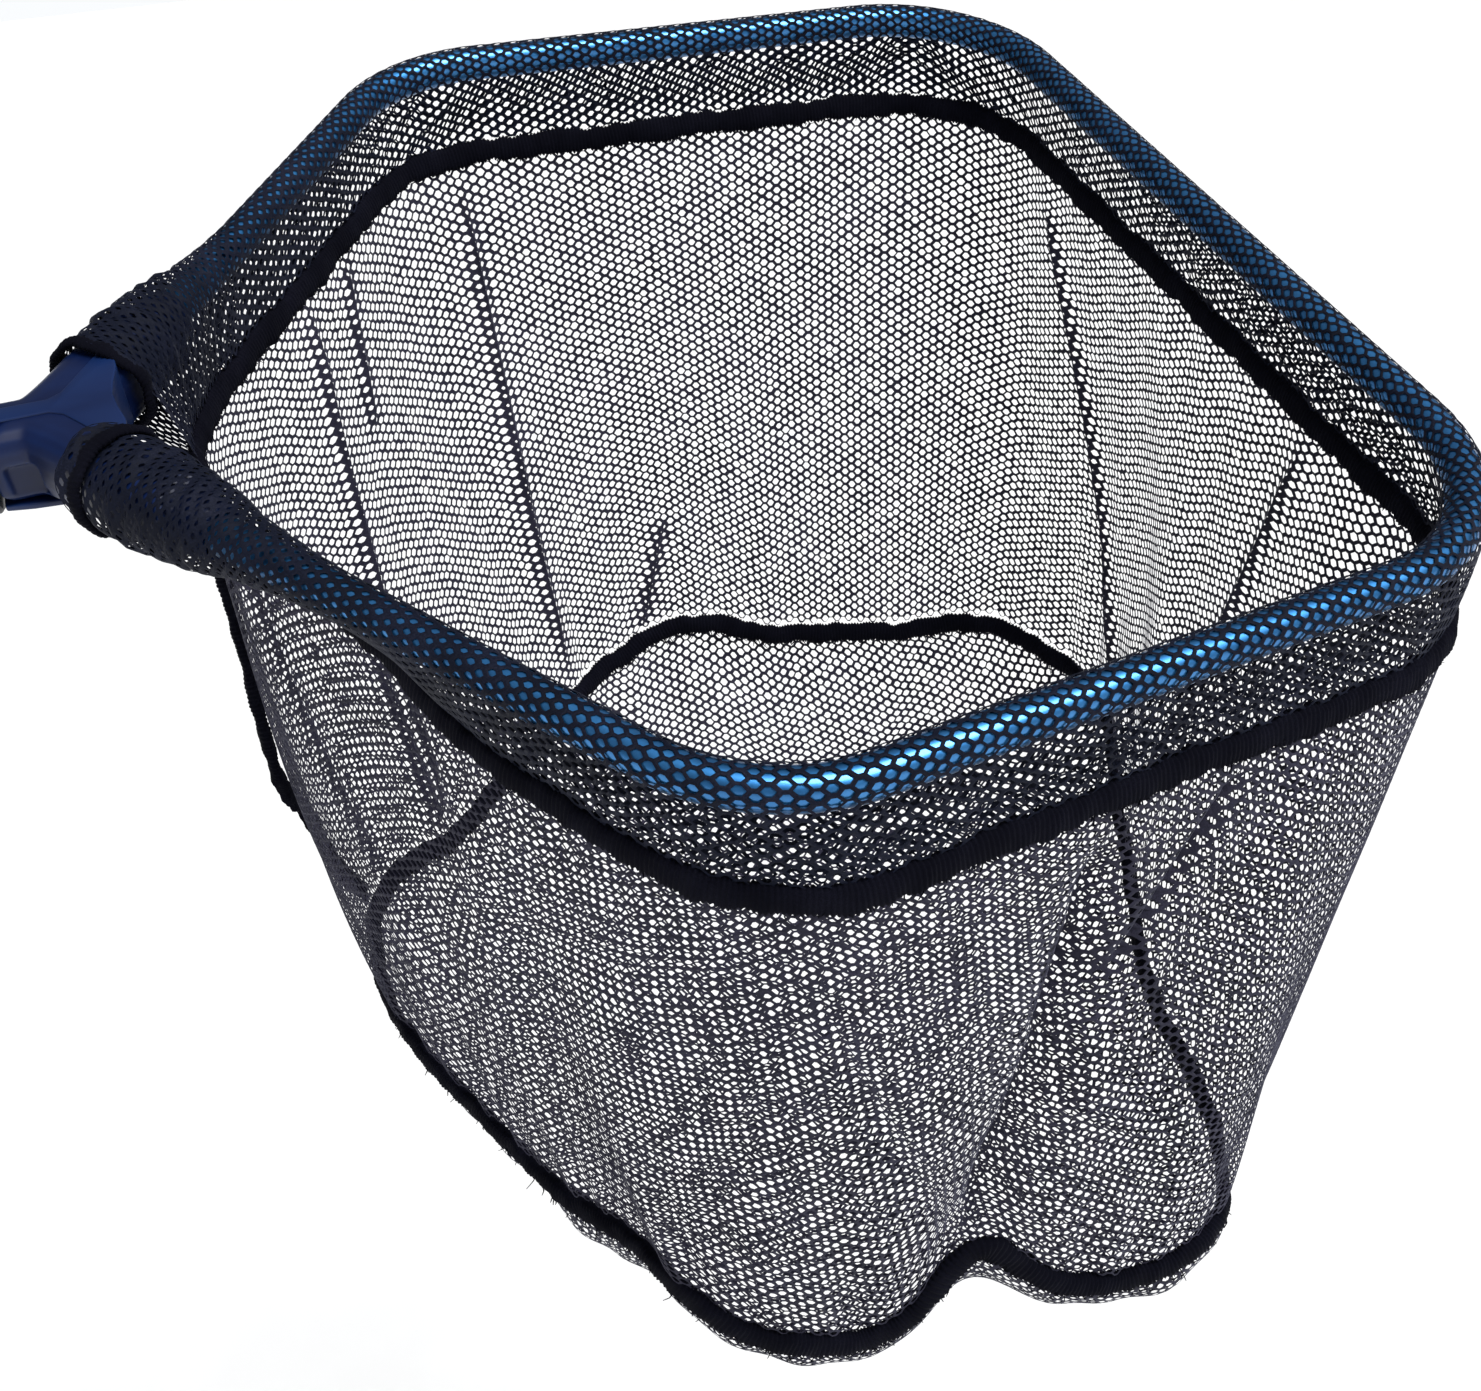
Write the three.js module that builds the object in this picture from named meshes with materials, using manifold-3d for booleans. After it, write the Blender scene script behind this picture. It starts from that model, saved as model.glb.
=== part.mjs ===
// Leaf net head for a pool pole: a blue aluminium hoop in a moulded yoke, with a deep netting bag sewn
// to it and a sprung spigot that clicks into the pole. Millimetres, +Z up. The pole's axis is the X axis,
// the origin is the centre of the spigot's end face, and the hoop is rolled about the pole so that its
// right side (-Y) hangs lower, as it does in the hand. The bag hangs straight down from it.
import * as THREE from "three";
import { mergeVertices } from "three/addons/utils/BufferGeometryUtils.js";
import Module from "manifold-3d";

const wasm = await Module();
wasm.setup();

// Hoop: five corners of its plan about the yoke's vertex, all in the hoop's own plane.
const rollDeg = 20;
const vertexX = 138;
const sideCorner = [190, 262];
const frontCorner = [521, 236];
const cornerRadius = 80;
const tubeRadius = 8;
const tubeWall = 1.2;
const tubeStart = 48;
const tubeEnd = 150;
const cornerSteps = 8;
const plugRadius = 6.1;

// Yoke: a flat-topped Y moulding.
const yokeHalfHeight = 16.5;
const yokeBevel = 11;
const stemEnd = -22;
const stemFlat = 5;
const armFlat = 3.5;
const armLength = 92;
const armRootRadius = 15.5;
const armEndRadius = 12.5;
const filletRadius = 24;
const crotchX = 15;
const webReach = 28;

// Spigot that enters the pole, with its sprung buttons.
const spigotLength = 110;
const spigotRadius = 14.2;
const spigotBore = 10;
const neckRadius = 11;
const neckLength = 34;
const collarRadius = 22;
const collarThick = 5.4;
const shoulderX = 108.8;
const buttonX = 50;
const buttonRadius = 3.5;
const buttonReach = 4;
const windowRadius = 5.2;
const pinX = 94;
const pinRadius = 1.5;
const leafThick = 0.9;
const leafWidth = 9;

// Bag: lengths run straight down from the hoop.
const sleeveWall = 1.2;
const sleeveBand = 2;
const boreOverrun = 12;
const sleeveDrop = 36;
const hemGap = 1.3;
const hemHeight = 13;
const hemThick = 6;
const wallHeight = 283;
const wallThick = 1.6;
const baseScale = 0.84;
const baseTwistDeg = -12;
const bagCentreX = 290;
const baseBinding = 12;
const baseSag = 64;
const yokeCornerRadius = 110;
const loopPoints = 60;
const seamIndex = 58;

const gap = 0.3;
const roll = THREE.MathUtils.degToRad(rollDeg);

const finish = (color, roughness, metalness) =>
  new THREE.MeshStandardMaterial({ color, roughness, metalness });
const blueAnodised = finish(0x1c5a9c, 0.3, 0.9);
const navyMoulding = finish(0x23406f, 0.45, 0);
const darkMoulding = finish(0x14181f, 0.5, 0);
const springSteel = finish(0x9a9ea3, 0.35, 1);
const blackNetting = finish(0x1b1c24, 0.85, 0);
const blackBinding = finish(0x0b0c10, 0.9, 0);

const part = new THREE.Group();
const rolled = new THREE.Group();
rolled.rotation.x = roll;
part.add(rolled);

function add(name, geometry, material, parent = rolled) {
  const mesh = new THREE.Mesh(geometry, material);
  mesh.name = name;
  parent.add(mesh);
}

function solid(geometry) {
  const bare = geometry.index ? geometry.toNonIndexed() : geometry.clone();
  bare.deleteAttribute("normal");
  bare.deleteAttribute("uv");
  const merged = mergeVertices(bare, 1e-4);
  return new wasm.Manifold(
    new wasm.Mesh({
      numProp: 3,
      vertProperties: merged.attributes.position.array,
      triVerts: new Uint32Array(merged.index.array),
    }),
  );
}

function geometryOf(manifold) {
  const mesh = manifold.getMesh();
  const geometry = new THREE.BufferGeometry();
  geometry.setAttribute("position", new THREE.BufferAttribute(mesh.vertProperties, 3));
  geometry.setIndex(new THREE.BufferAttribute(mesh.triVerts, 1));
  return geometry;
}

function join(geometries) {
  return geometries.map(solid).reduce((whole, next) => whole.add(next));
}

function cut(whole, geometries) {
  return geometries.map(solid).reduce((left, next) => left.subtract(next), whole);
}

// A turned piece about the X axis, from (x, radius) pairs.
function turned(profile, sides = 24) {
  const points = profile.map(([x, radius]) => new THREE.Vector2(radius, x));
  return new THREE.LatheGeometry(points, sides).rotateZ(-Math.PI / 2);
}

// A round bar between two points.
function bar(from, to, radius, sides = 20) {
  const along = to.clone().sub(from);
  const geometry = new THREE.CylinderGeometry(radius, radius, along.length(), sides);
  const up = new THREE.Vector3(0, 1, 0);
  geometry.applyQuaternion(new THREE.Quaternion().setFromUnitVectors(up, along.normalize()));
  return geometry.translate(...from.clone().add(to).multiplyScalar(0.5).toArray());
}

const vec = (x, y, z) => new THREE.Vector3(x, y, z);

// Points of a path through corners, each corner rounded by its radius. A closed path starts on the
// middle of its first corner's arc.
function roundedPath(corners, radii, closed, steps = 8) {
  const points = [];
  corners.forEach((corner, i) => {
    if (!closed && (i === 0 || i === corners.length - 1)) {
      points.push(corner.clone());
      return;
    }
    const before = corners[(i + corners.length - 1) % corners.length].clone().sub(corner).normalize();
    const after = corners[(i + 1) % corners.length].clone().sub(corner).normalize();
    const half = before.angleTo(after) / 2;
    const middle = before.clone().add(after).normalize();
    const centre = corner.clone().addScaledVector(middle, radii[i] / Math.sin(half));
    const sweep = Math.PI / 2 - half;
    const inward = middle.clone().negate();
    const side = before.clone().addScaledVector(middle, -before.dot(middle)).normalize();
    for (let k = 0; k <= steps; k++) {
      const angle = sweep * (1 - (2 * k) / steps);
      points.push(
        centre
          .clone()
          .addScaledVector(inward, radii[i] * Math.cos(angle))
          .addScaledVector(side, radii[i] * Math.sin(angle)),
      );
    }
  });
  return points;
}

const armAngle = Math.atan2(sideCorner[1], sideCorner[0]);
const alongArm = (distance, sign) =>
  vec(vertexX + distance * Math.cos(armAngle), sign * distance * Math.sin(armAngle), 0);
const rightSide = vec(vertexX + sideCorner[0], -sideCorner[1], 0);
const rightFront = vec(vertexX + frontCorner[0], -frontCorner[1], 0);
const leftFront = vec(vertexX + frontCorner[0], frontCorner[1], 0);
const leftSide = vec(vertexX + sideCorner[0], sideCorner[1], 0);

// Stations along the hoop's centreline, from one arm of the yoke round to the other. The distances are
// measured up each arm from the yoke's vertex.
function hoopStations(distances) {
  const corners = [rightSide, rightFront, leftFront, leftSide];
  const radii = corners.map(() => cornerRadius);
  const ends = [alongArm(distances[0], -1), ...corners, alongArm(distances[0], 1)];
  const bend = roundedPath(ends, [0, ...radii, 0], false, cornerSteps).slice(1, -1);
  const points = [
    ...distances.map((distance) => alongArm(distance, -1)),
    ...bend,
    ...distances.map((distance) => alongArm(distance, 1)).reverse(),
  ];
  return points.map((at, i) => {
    const ahead = points[Math.min(i + 1, points.length - 1)];
    const behind = points[Math.max(i - 1, 0)];
    const before = at.clone().sub(behind).normalize();
    const after = ahead.clone().sub(at).normalize();
    return { at, along: before.add(after).normalize() };
  });
}

function circle(radius, sides) {
  const points = [];
  for (let i = 0; i < sides; i++) {
    const angle = (2 * Math.PI * i) / sides;
    points.push(new THREE.Vector2(radius * Math.cos(angle), radius * Math.sin(angle)));
  }
  return points;
}

// The skin of a row of sections, each a list of the same number of points. Sections and rows may each
// close on themselves; open rows of closed sections get end caps.
function loft(sections, rowsClose) {
  const count = sections[0].length;
  const positions = sections.flat().flatMap((point) => point.toArray());
  const index = [];
  const rows = rowsClose ? sections.length : sections.length - 1;
  for (let row = 0; row < rows; row++) {
    const next = (row + 1) % sections.length;
    for (let i = 0; i < count; i++) {
      const j = (i + 1) % count;
      const [a, b, c, d] = [row * count + i, row * count + j, next * count + j, next * count + i];
      index.push(a, b, c, a, c, d);
    }
  }
  if (!rowsClose) {
    const last = (sections.length - 1) * count;
    for (let i = 1; i < count - 1; i++) {
      index.push(0, i + 1, i);
      index.push(last, last + i, last + i + 1);
    }
  }
  const geometry = new THREE.BufferGeometry();
  geometry.setAttribute("position", new THREE.Float32BufferAttribute(positions, 3));
  geometry.setIndex(index);
  return facingOut(geometry);
}

// Turns a closed skin's faces outwards.
function facingOut(geometry) {
  const { array } = geometry.attributes.position;
  const index = geometry.index.array;
  const corner = (i) => new THREE.Vector3().fromArray(array, 3 * index[i]);
  let volume = 0;
  for (let i = 0; i < index.length; i += 3) {
    volume += corner(i).dot(corner(i + 1).cross(corner(i + 2)));
  }
  if (volume < 0) index.reverse();
  return geometry;
}

// Hoop and what plugs its ends.

function makeHoop() {
  const round = (radius, sides, past) =>
    hoopStations([tubeStart, tubeEnd]).map(({ at, along }, i, all) => {
      const end = i === 0 ? -past : i === all.length - 1 ? past : 0;
      const side = vec(along.y, -along.x, 0);
      return roundSection(at.clone().addScaledVector(along, end), side, vec(0, 0, 1), radius, sides);
    });
  const outside = solid(loft(round(tubeRadius, 12, 0), false));
  const inside = solid(loft(round(tubeRadius - tubeWall, 12, 1), false));
  const tube = outside.subtract(inside);
  add("hoop_tube", geometryOf(cut(tube, [armScrewHole(-1), armScrewHole(1)])), blueAnodised);
}

const armScrewAt = (sign) => alongArm(tubeStart + 24, sign);

function armScrewHole(sign, radius = 2.2) {
  const at = armScrewAt(sign);
  return bar(vec(at.x, at.y, -30), vec(at.x, at.y, 3), radius, 12);
}

function makeArmFasteners(side, sign) {
  const plugEnds = [alongArm(tubeStart + 1, sign), alongArm(tubeStart + 40, sign)];
  const plug = solid(bar(...plugEnds, plugRadius));
  add(`tube_end_plug_${side}`, geometryOf(cut(plug, [armScrewHole(sign)])), darkMoulding);
  const at = armScrewAt(sign);
  const profile = [
    [0, 0],
    [0, 2.6],
    [0.8, 3.7],
    [2.4, 3.7],
    [2.4, 1.8],
    [15, 1.8],
    [17, 0],
  ];
  const screw = turned(profile, 16).rotateY(-Math.PI / 2);
  add(`arm_screw_${side}`, screw.translate(at.x, at.y, -armScrewDepth), springSteel);
}

const armScrewDepth = 15;

// Yoke.

function yokeOutline() {
  const direction = new THREE.Vector2(Math.cos(armAngle), Math.sin(armAngle));
  const normal = new THREE.Vector2(-direction.y, direction.x);
  const armPoint = (distance, offset) =>
    direction.clone().multiplyScalar(distance).addScaledVector(normal, offset);
  const outerMeet = new THREE.Vector2(stemEnd + yokeBevel, stemFlat);
  const filletStart = new THREE.Vector2(stemEnd / 2 + 6, stemFlat);
  const crossing = (stemFlat - normal.y * armFlat) / direction.y;
  const knee = new THREE.Vector2(crossing * direction.x + normal.x * armFlat, stemFlat);
  const filletEnd = knee.clone().addScaledVector(direction, filletRadius);
  const crotch = new THREE.Vector2(crotchX, 0);
  const half = [outerMeet, filletStart];
  const curve = new THREE.QuadraticBezierCurve(filletStart, knee, filletEnd);
  half.push(...curve.getPoints(6).slice(1));
  half.push(armPoint(armLength - 24, armFlat), armPoint(armLength - 24, -armFlat));
  half.push(armPoint(webReach, -armFlat), crotch);
  const mirrored = half
    .slice(0, -1)
    .reverse()
    .map((point) => new THREE.Vector2(point.x, -point.y));
  return new THREE.Shape([...half, ...mirrored]);
}

function makeYoke() {
  const plate = new THREE.ExtrudeGeometry(yokeOutline(), {
    depth: 2 * (yokeHalfHeight - yokeBevel),
    steps: 1,
    bevelThickness: yokeBevel,
    bevelSize: yokeBevel,
    bevelSegments: 4,
  });
  plate.translate(vertexX, 0, yokeBevel - yokeHalfHeight);
  const sockets = [-1, 1].map((sign) => {
    const profile = [
      [0, 0],
      [0, armRootRadius],
      [armLength - 6, armEndRadius],
      [armLength, armEndRadius - 2],
      [armLength, 0],
    ];
    return turned(profile, 24).rotateZ(sign * armAngle).translate(vertexX, 0, 0);
  });
  const body = join([plate, ...sockets]);
  const tubeBores = [-1, 1].map((sign) =>
    bar(alongArm(tubeStart - gap, sign), alongArm(armLength + 20, sign), tubeRadius + gap, 16),
  );
  const screwHoles = [-1, 1].map((sign) => armScrewHole(sign));
  const headPockets = [-1, 1].map((sign) => {
    const at = armScrewAt(sign);
    return bar(vec(at.x, at.y, -40), vec(at.x, at.y, -armScrewDepth + 2.7), 4.2, 16);
  });
  const neckBore = bar(
    vec(vertexX + stemEnd - 20, 0, 0),
    vec(vertexX + stemEnd + neckLength + gap, 0, 0),
    neckRadius + gap,
  );
  const trimmed = cut(body, [...tubeBores, ...screwHoles, ...headPockets, neckBore]);
  add("yoke_body", geometryOf(cut(trimmed, [...stemPockets(), ...stemScrewHoles()])), navyMoulding);
}

// Shallow coring pockets in the stem's two sides.
function stemPockets() {
  return [-1, 1].map((sign) => {
    const pocket = new THREE.BoxGeometry(13.3, 4.2, 14.6);
    return pocket.translate(vertexX + stemEnd + 11.7, sign * 16.3, -3.1);
  });
}

const stemScrewX = vertexX - 6;

function stemScrewHoles() {
  return [
    bar(vec(stemScrewX, 0, -8), vec(stemScrewX, 0, -20), 1.9, 12),
    bar(vec(stemScrewX, 0, -14.2), vec(stemScrewX, 0, -20), 4, 16),
  ];
}

// One screw, from below, holds the spigot's neck in the stem.
function makeStemScrew() {
  const profile = [
    [0, 0],
    [0, 1.5],
    [5.5, 1.5],
    [5.5, 3.5],
    [7, 3.5],
    [7.8, 2.4],
    [7.8, 0],
  ];
  const screw = turned(profile, 16).rotateY(-Math.PI / 2).translate(stemScrewX, 0, 9);
  add("stem_screw", screw.rotateX(Math.PI), springSteel);
}

// Spigot, collar and end plug.

function makeSpigot() {
  const profile = [
    [3.3, spigotBore],
    [3.3, spigotRadius],
    [spigotLength, spigotRadius],
    [spigotLength, neckRadius],
    [spigotLength + collarThick + gap + neckLength, neckRadius],
    [spigotLength + collarThick + gap + neckLength, spigotBore - 3],
    [spigotLength - 4, spigotBore - 3],
    [spigotLength - 4, spigotBore],
    [3.3, spigotBore],
  ];
  const windows = [-1, 1].map((sign) =>
    bar(vec(buttonX, sign * 6, 0), vec(buttonX, sign * 20, 0), windowRadius, 16),
  );
  const pinHole = bar(vec(pinX, 0, -20), vec(pinX, 0, 20), pinRadius + gap, 12);
  const screwHole = bar(vec(stemScrewX, 0, -20), vec(stemScrewX, 0, 0), 1.9, 12);
  const body = cut(solid(turned(profile, 32)), [...windows, pinHole, screwHole]);
  add("pole_spigot", geometryOf(body), darkMoulding);
}

function makeCollar() {
  const inner = neckRadius + gap;
  const seat = spigotLength + gap;
  const outer = spigotLength + collarThick;
  const profile = [
    [seat, inner],
    [seat, spigotRadius + gap],
    [shoulderX, spigotRadius + gap],
    [shoulderX, collarRadius - 1.5],
    [shoulderX + 1.5, collarRadius],
    [outer - 1.5, collarRadius],
    [outer, collarRadius - 1.5],
    [outer, inner],
    [seat, inner],
  ];
  add("shoulder_collar", turned(profile, 32), darkMoulding);
}

function makeEndPlug() {
  const profile = [
    [0, 0],
    [0, spigotRadius - 1],
    [1, spigotRadius],
    [3, spigotRadius],
    [3, spigotBore - gap],
    [14, spigotBore - gap],
    [14, 0],
  ];
  add("spigot_end_plug", turned(profile, 32), darkMoulding);
}

// Two leaf springs that spread from a cross pin and carry the buttons.
function makeClip() {
  add("clip_pin", bar(vec(pinX, 0, -13), vec(pinX, 0, 13), pinRadius, 12), springSteel);
  [["left", 1], ["right", -1]].forEach(([side, sign]) => {
    const root = pinRadius + gap + leafThick / 2;
    const tip = 8;
    const tipX = buttonX - 7;
    const length = pinX + 3 - tipX;
    const leaf = new THREE.BoxGeometry(length, leafThick, leafWidth);
    leaf.rotateZ(-sign * Math.atan2(tip - root, length));
    leaf.translate((pinX + 3 + tipX) / 2, (sign * (tip + root)) / 2, 0);
    add(`clip_leaf_${side}`, leaf, springSteel);
    const foot = buttonFoot(root, tip, length);
    const button = [
      [foot, 0],
      [foot, buttonRadius],
      [spigotRadius + buttonReach - 1.8, buttonRadius],
      [spigotRadius + buttonReach - 0.5, buttonRadius - 1],
      [spigotRadius + buttonReach, buttonRadius - 2.4],
      [spigotRadius + buttonReach, 0],
    ];
    const turnedButton = turned(button, 20).rotateZ((sign * Math.PI) / 2).translate(buttonX, 0, 0);
    add(`snap_button_${side}`, turnedButton, springSteel);
  });
}

// Where a button's flat foot clears the sloping leaf.
function buttonFoot(root, tip, length) {
  const slope = (tip - root) / length;
  const leafY = tip - slope * 7;
  return leafY + leafThick / 2 + slope * buttonRadius + gap;
}

// Bag. Loops are worked out in the rolled plane, then dropped straight down.

function rolledPoint(point) {
  return point.clone().applyAxisAngle(vec(1, 0, 0), roll);
}

// One closed loop of the bag: the hoop's plan, scaled and twisted about the bag's middle.
function bagLoop(scale, twistDeg, drop) {
  const corners = [vec(vertexX, 0, 0), rightSide, rightFront, leftFront, leftSide];
  const radii = [yokeCornerRadius, cornerRadius, cornerRadius, cornerRadius, cornerRadius];
  const path = new THREE.CatmullRomCurve3(roundedPath(corners, radii, true), true, "centripetal");
  const middle = vec(vertexX + bagCentreX, 0, 0);
  const twist = THREE.MathUtils.degToRad(twistDeg);
  return path.getSpacedPoints(loopPoints).slice(0, -1).map((point) => {
    point.sub(middle).multiplyScalar(scale).applyAxisAngle(vec(0, 0, 1), twist).add(middle);
    return rolledPoint(point).add(vec(0, 0, -drop));
  });
}

// Outward level directions at each point of a loop.
function outward(loop) {
  return loop.map((point, i) => {
    const before = loop[(i + loop.length - 1) % loop.length];
    const after = loop[(i + 1) % loop.length];
    const along = after.clone().sub(before).setZ(0).normalize();
    return vec(along.y, -along.x, 0);
  });
}

// A band that closes on itself between an upper and a lower loop.
function band(upper, lower, thick, rows) {
  const upperOut = outward(upper);
  const lowerOut = outward(lower);
  return loft(
    upper.map((top, i) => {
      const section = [];
      for (let k = 0; k <= rows; k++) {
        const out = upperOut[i].clone().lerp(lowerOut[i], k / rows).normalize();
        section.push(top.clone().lerp(lower[i], k / rows).addScaledVector(out, thick / 2));
      }
      for (let k = rows; k >= 0; k--) {
        const out = upperOut[i].clone().lerp(lowerOut[i], k / rows).normalize();
        section.push(top.clone().lerp(lower[i], k / rows).addScaledVector(out, -thick / 2));
      }
      return section;
    }),
    true,
  );
}

// Netting folded over the arms of the yoke and the hoop, its two layers meeting in a band that hangs
// below them. Each entry is a distance up the arm and the radius of what the sleeve wraps there.
const sleeveCore = [
  [50, 18.2],
  [70, 18.2],
  [92, 16.5],
  [100, 11],
  [112, 8],
];

function makeSleeve() {
  const stations = hoopStations(sleeveCore.map(([distance]) => distance));
  const outer = [];
  const inner = [];
  stations.forEach(({ at, along }, i) => {
    const fromEnd = Math.min(i, stations.length - 1 - i);
    const core = sleeveCore[Math.min(fromEnd, sleeveCore.length - 1)][1] + gap + 0.1;
    const forward = rolledPoint(along);
    const side = forward.clone().cross(vec(0, 0, 1)).normalize();
    const up = side.clone().cross(forward).normalize();
    const centre = rolledPoint(at);
    outer.push(sleeveSection(centre, side, up, core + sleeveWall));
    const past = i === 0 ? -boreOverrun : i === stations.length - 1 ? boreOverrun : 0;
    inner.push(roundSection(centre.clone().addScaledVector(forward, past), side, up, core, 12));
  });
  const body = solid(loft(outer, false)).subtract(solid(loft(inner, false)));
  add("rim_sleeve", geometryOf(body), blackNetting, part);
}

function roundSection(centre, side, up, radius, sides) {
  return circle(radius, sides).map(({ x, y }) =>
    centre.clone().addScaledVector(side, x).addScaledVector(up, y),
  );
}

function sleeveSection(centre, side, up, radius) {
  const points = [];
  for (let k = 0; k <= 9; k++) {
    const angle = THREE.MathUtils.degToRad(-50 + (280 * k) / 9);
    points.push([radius * Math.cos(angle), radius * Math.sin(angle)]);
  }
  const round = points.map(([x, y]) =>
    centre.clone().addScaledVector(side, x).addScaledVector(up, y),
  );
  const flat = sleeveBand / 2;
  const hanging = [
    [-flat, radius + 4],
    [-flat, sleeveDrop],
    [flat, sleeveDrop],
    [flat, radius + 4],
  ];
  return [
    ...round,
    ...hanging.map(([x, drop]) => centre.clone().addScaledVector(side, x).add(vec(0, 0, -drop))),
  ];
}

// Bound edges of the sleeve where it ends on the yoke's arms.
const edgeClear = 6;

function makeSleeveEnds() {
  [["left", 1], ["right", -1]].forEach(([side, sign]) => {
    const inner = sleeveCore[0][1] + gap;
    const profile = [
      [-4, inner],
      [-4, inner + 2],
      [0, inner + 2],
      [0, inner],
      [-4, inner],
    ];
    const ring = turned(profile, 24).rotateZ(sign * armAngle);
    const at = alongArm(sleeveCore[0][0] - edgeClear, sign);
    add(`sleeve_edge_${side}`, ring.translate(at.x, at.y, 0), blackBinding);
  });
}

function makeBag() {
  const hemTop = sleeveDrop + hemGap;
  const wallTop = hemTop + hemHeight + gap;
  const wallBottom = wallTop + wallHeight;
  const twist = baseTwistDeg;
  const at = (scale, turn, drop) => bagLoop(scale, turn, drop);
  const hem = band(at(1, 0, hemTop), at(1, 0, hemTop + hemHeight), hemThick, 1);
  add("hem_binding", hem, blackBinding, part);
  const top = at(1, 0, wallTop);
  const bottom = at(baseScale, twist, wallBottom);
  add("wall_panel", band(top, bottom, wallThick, 4), blackNetting, part);
  const bindingTop = at(baseScale, twist, wallBottom + gap);
  const bindingBottom = at(baseScale, twist, wallBottom + gap + baseBinding);
  add("base_binding", band(bindingTop, bindingBottom, 6, 1), blackBinding, part);
  makeWallSeam(top, bottom);
  makeBase(wallBottom + 2 * gap + baseBinding);
}

// The wall strip's one upright seam, bound, on the outside by the yoke.
function makeWallSeam(top, bottom) {
  const out = outward(top)[seamIndex].clone().lerp(outward(bottom)[seamIndex], 0.5).normalize();
  const down = bottom[seamIndex].clone().sub(top[seamIndex]).normalize();
  const across = down.clone().cross(out).normalize();
  const sections = [0.03, 0.97].map((t) => {
    const middle = top[seamIndex].clone().lerp(bottom[seamIndex], t);
    middle.addScaledVector(out, wallThick / 2 + 2.6);
    return [
      [-3.5, -1.5],
      [3.5, -1.5],
      [3.5, 1.5],
      [-3.5, 1.5],
    ].map(([x, y]) => middle.clone().addScaledVector(across, x).addScaledVector(out, y));
  });
  add("wall_seam", loft(sections, false), blackBinding, part);
}

// The base: a shallow dish of netting under the ring.
function makeBase(drop) {
  const rings = [1, 0.85, 0.6, 0.3];
  const skin = (raise) => [
    ...rings.map((share) => {
      const sag = baseSag * (1 - share * share) + wallThick - raise;
      return bagLoop(baseScale * share, baseTwistDeg, drop + sag);
    }),
  ];
  const under = skin(0);
  const over = skin(wallThick).reverse();
  const middle = vec(vertexX + bagCentreX, 0, -drop - baseSag - wallThick);
  const tip = (height) => under[0].map(() => middle.clone().add(vec(0, 0, height)));
  const sections = [tip(0), ...under.reverse(), ...over.reverse(), tip(wallThick)];
  const geometry = loft(sections, false);
  add("base_panel", geometryOf(solid(geometry)), blackNetting, part);
}

makeHoop();
makeArmFasteners("left", 1);
makeArmFasteners("right", -1);
makeYoke();
makeStemScrew();
makeSpigot();
makeCollar();
makeEndPlug();
makeClip();
makeSleeve();
makeSleeveEnds();
makeBag();

export default part;
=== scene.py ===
import math

import bmesh
import bpy
import numpy as np
from mathutils import Matrix, Vector


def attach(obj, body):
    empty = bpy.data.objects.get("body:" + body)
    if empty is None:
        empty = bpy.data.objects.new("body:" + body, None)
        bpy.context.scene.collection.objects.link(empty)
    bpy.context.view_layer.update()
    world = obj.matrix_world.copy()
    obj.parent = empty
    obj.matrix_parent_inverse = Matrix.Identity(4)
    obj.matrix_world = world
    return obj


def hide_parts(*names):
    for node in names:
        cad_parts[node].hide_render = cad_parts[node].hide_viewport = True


# Leaf net head for a pool pole, in metres, +Z up. The pole's axis is X and the hoop is rolled about it.
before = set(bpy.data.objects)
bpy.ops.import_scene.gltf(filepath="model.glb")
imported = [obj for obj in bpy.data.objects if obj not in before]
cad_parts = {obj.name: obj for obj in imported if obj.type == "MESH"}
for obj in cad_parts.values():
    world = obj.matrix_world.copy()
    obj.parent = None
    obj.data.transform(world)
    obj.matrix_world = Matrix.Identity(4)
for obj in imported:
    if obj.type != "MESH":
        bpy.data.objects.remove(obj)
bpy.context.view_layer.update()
scene = bpy.context.scene
mm = 0.001

# Camera, set in the hoop's own level plane and rolled with it.
cameraFacts = {
    "target": (341 * mm, -212 * mm, 0.0),
    "azimuthDeg": -22.9,
    "elevationDeg": 47.9,
    "distance": 0.5,
    "tiltDeg": 2.3,
    "lens": 36.46,
}

hoop = {
    "rollDeg": 20,
    "vertexX": 138 * mm,
    "sideCorner": (190 * mm, 262 * mm),
    "frontCorner": (521 * mm, 236 * mm),
    "cornerRadius": 80 * mm,
    "yokeCornerRadius": 110 * mm,
    "tubeRadius": 8 * mm,
    "tubeWall": 1.2 * mm,
    "tubeStart": 48 * mm,
    "tubeStep": 4 * mm,
    "armAngle": math.atan2(262, 190),
}
rollTurn = Matrix.Rotation(math.radians(hoop["rollDeg"]), 3, "X")
rollArray = np.array(rollTurn)


def placeCamera(facts):
    azimuth, elevation = math.radians(facts["azimuthDeg"]), math.radians(facts["elevationDeg"])
    level = math.cos(elevation)
    back = Vector((level * math.sin(azimuth), -level * math.cos(azimuth), math.sin(elevation)))
    forward = -back
    right = forward.cross(Vector((0, 0, 1))).normalized()
    up = right.cross(forward)
    tilt = math.radians(facts["tiltDeg"])
    right, up = right * math.cos(tilt) + up * math.sin(tilt), up * math.cos(tilt) - right * math.sin(tilt)
    eye = rollTurn @ (Vector(facts["target"]) + back * facts["distance"])
    turn = rollTurn @ Matrix((right, up, back)).transposed()
    data = bpy.data.cameras.new("camera")
    data.lens = facts["lens"]
    data.sensor_width = 36
    data.clip_start, data.clip_end = 0.01, 50
    camera = bpy.data.objects.new("camera", data)
    camera.matrix_world = Matrix.Translation(eye) @ turn.to_4x4()
    scene.collection.objects.link(camera)
    scene.camera = camera


placeCamera(cameraFacts)
print("camera placed")


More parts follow.
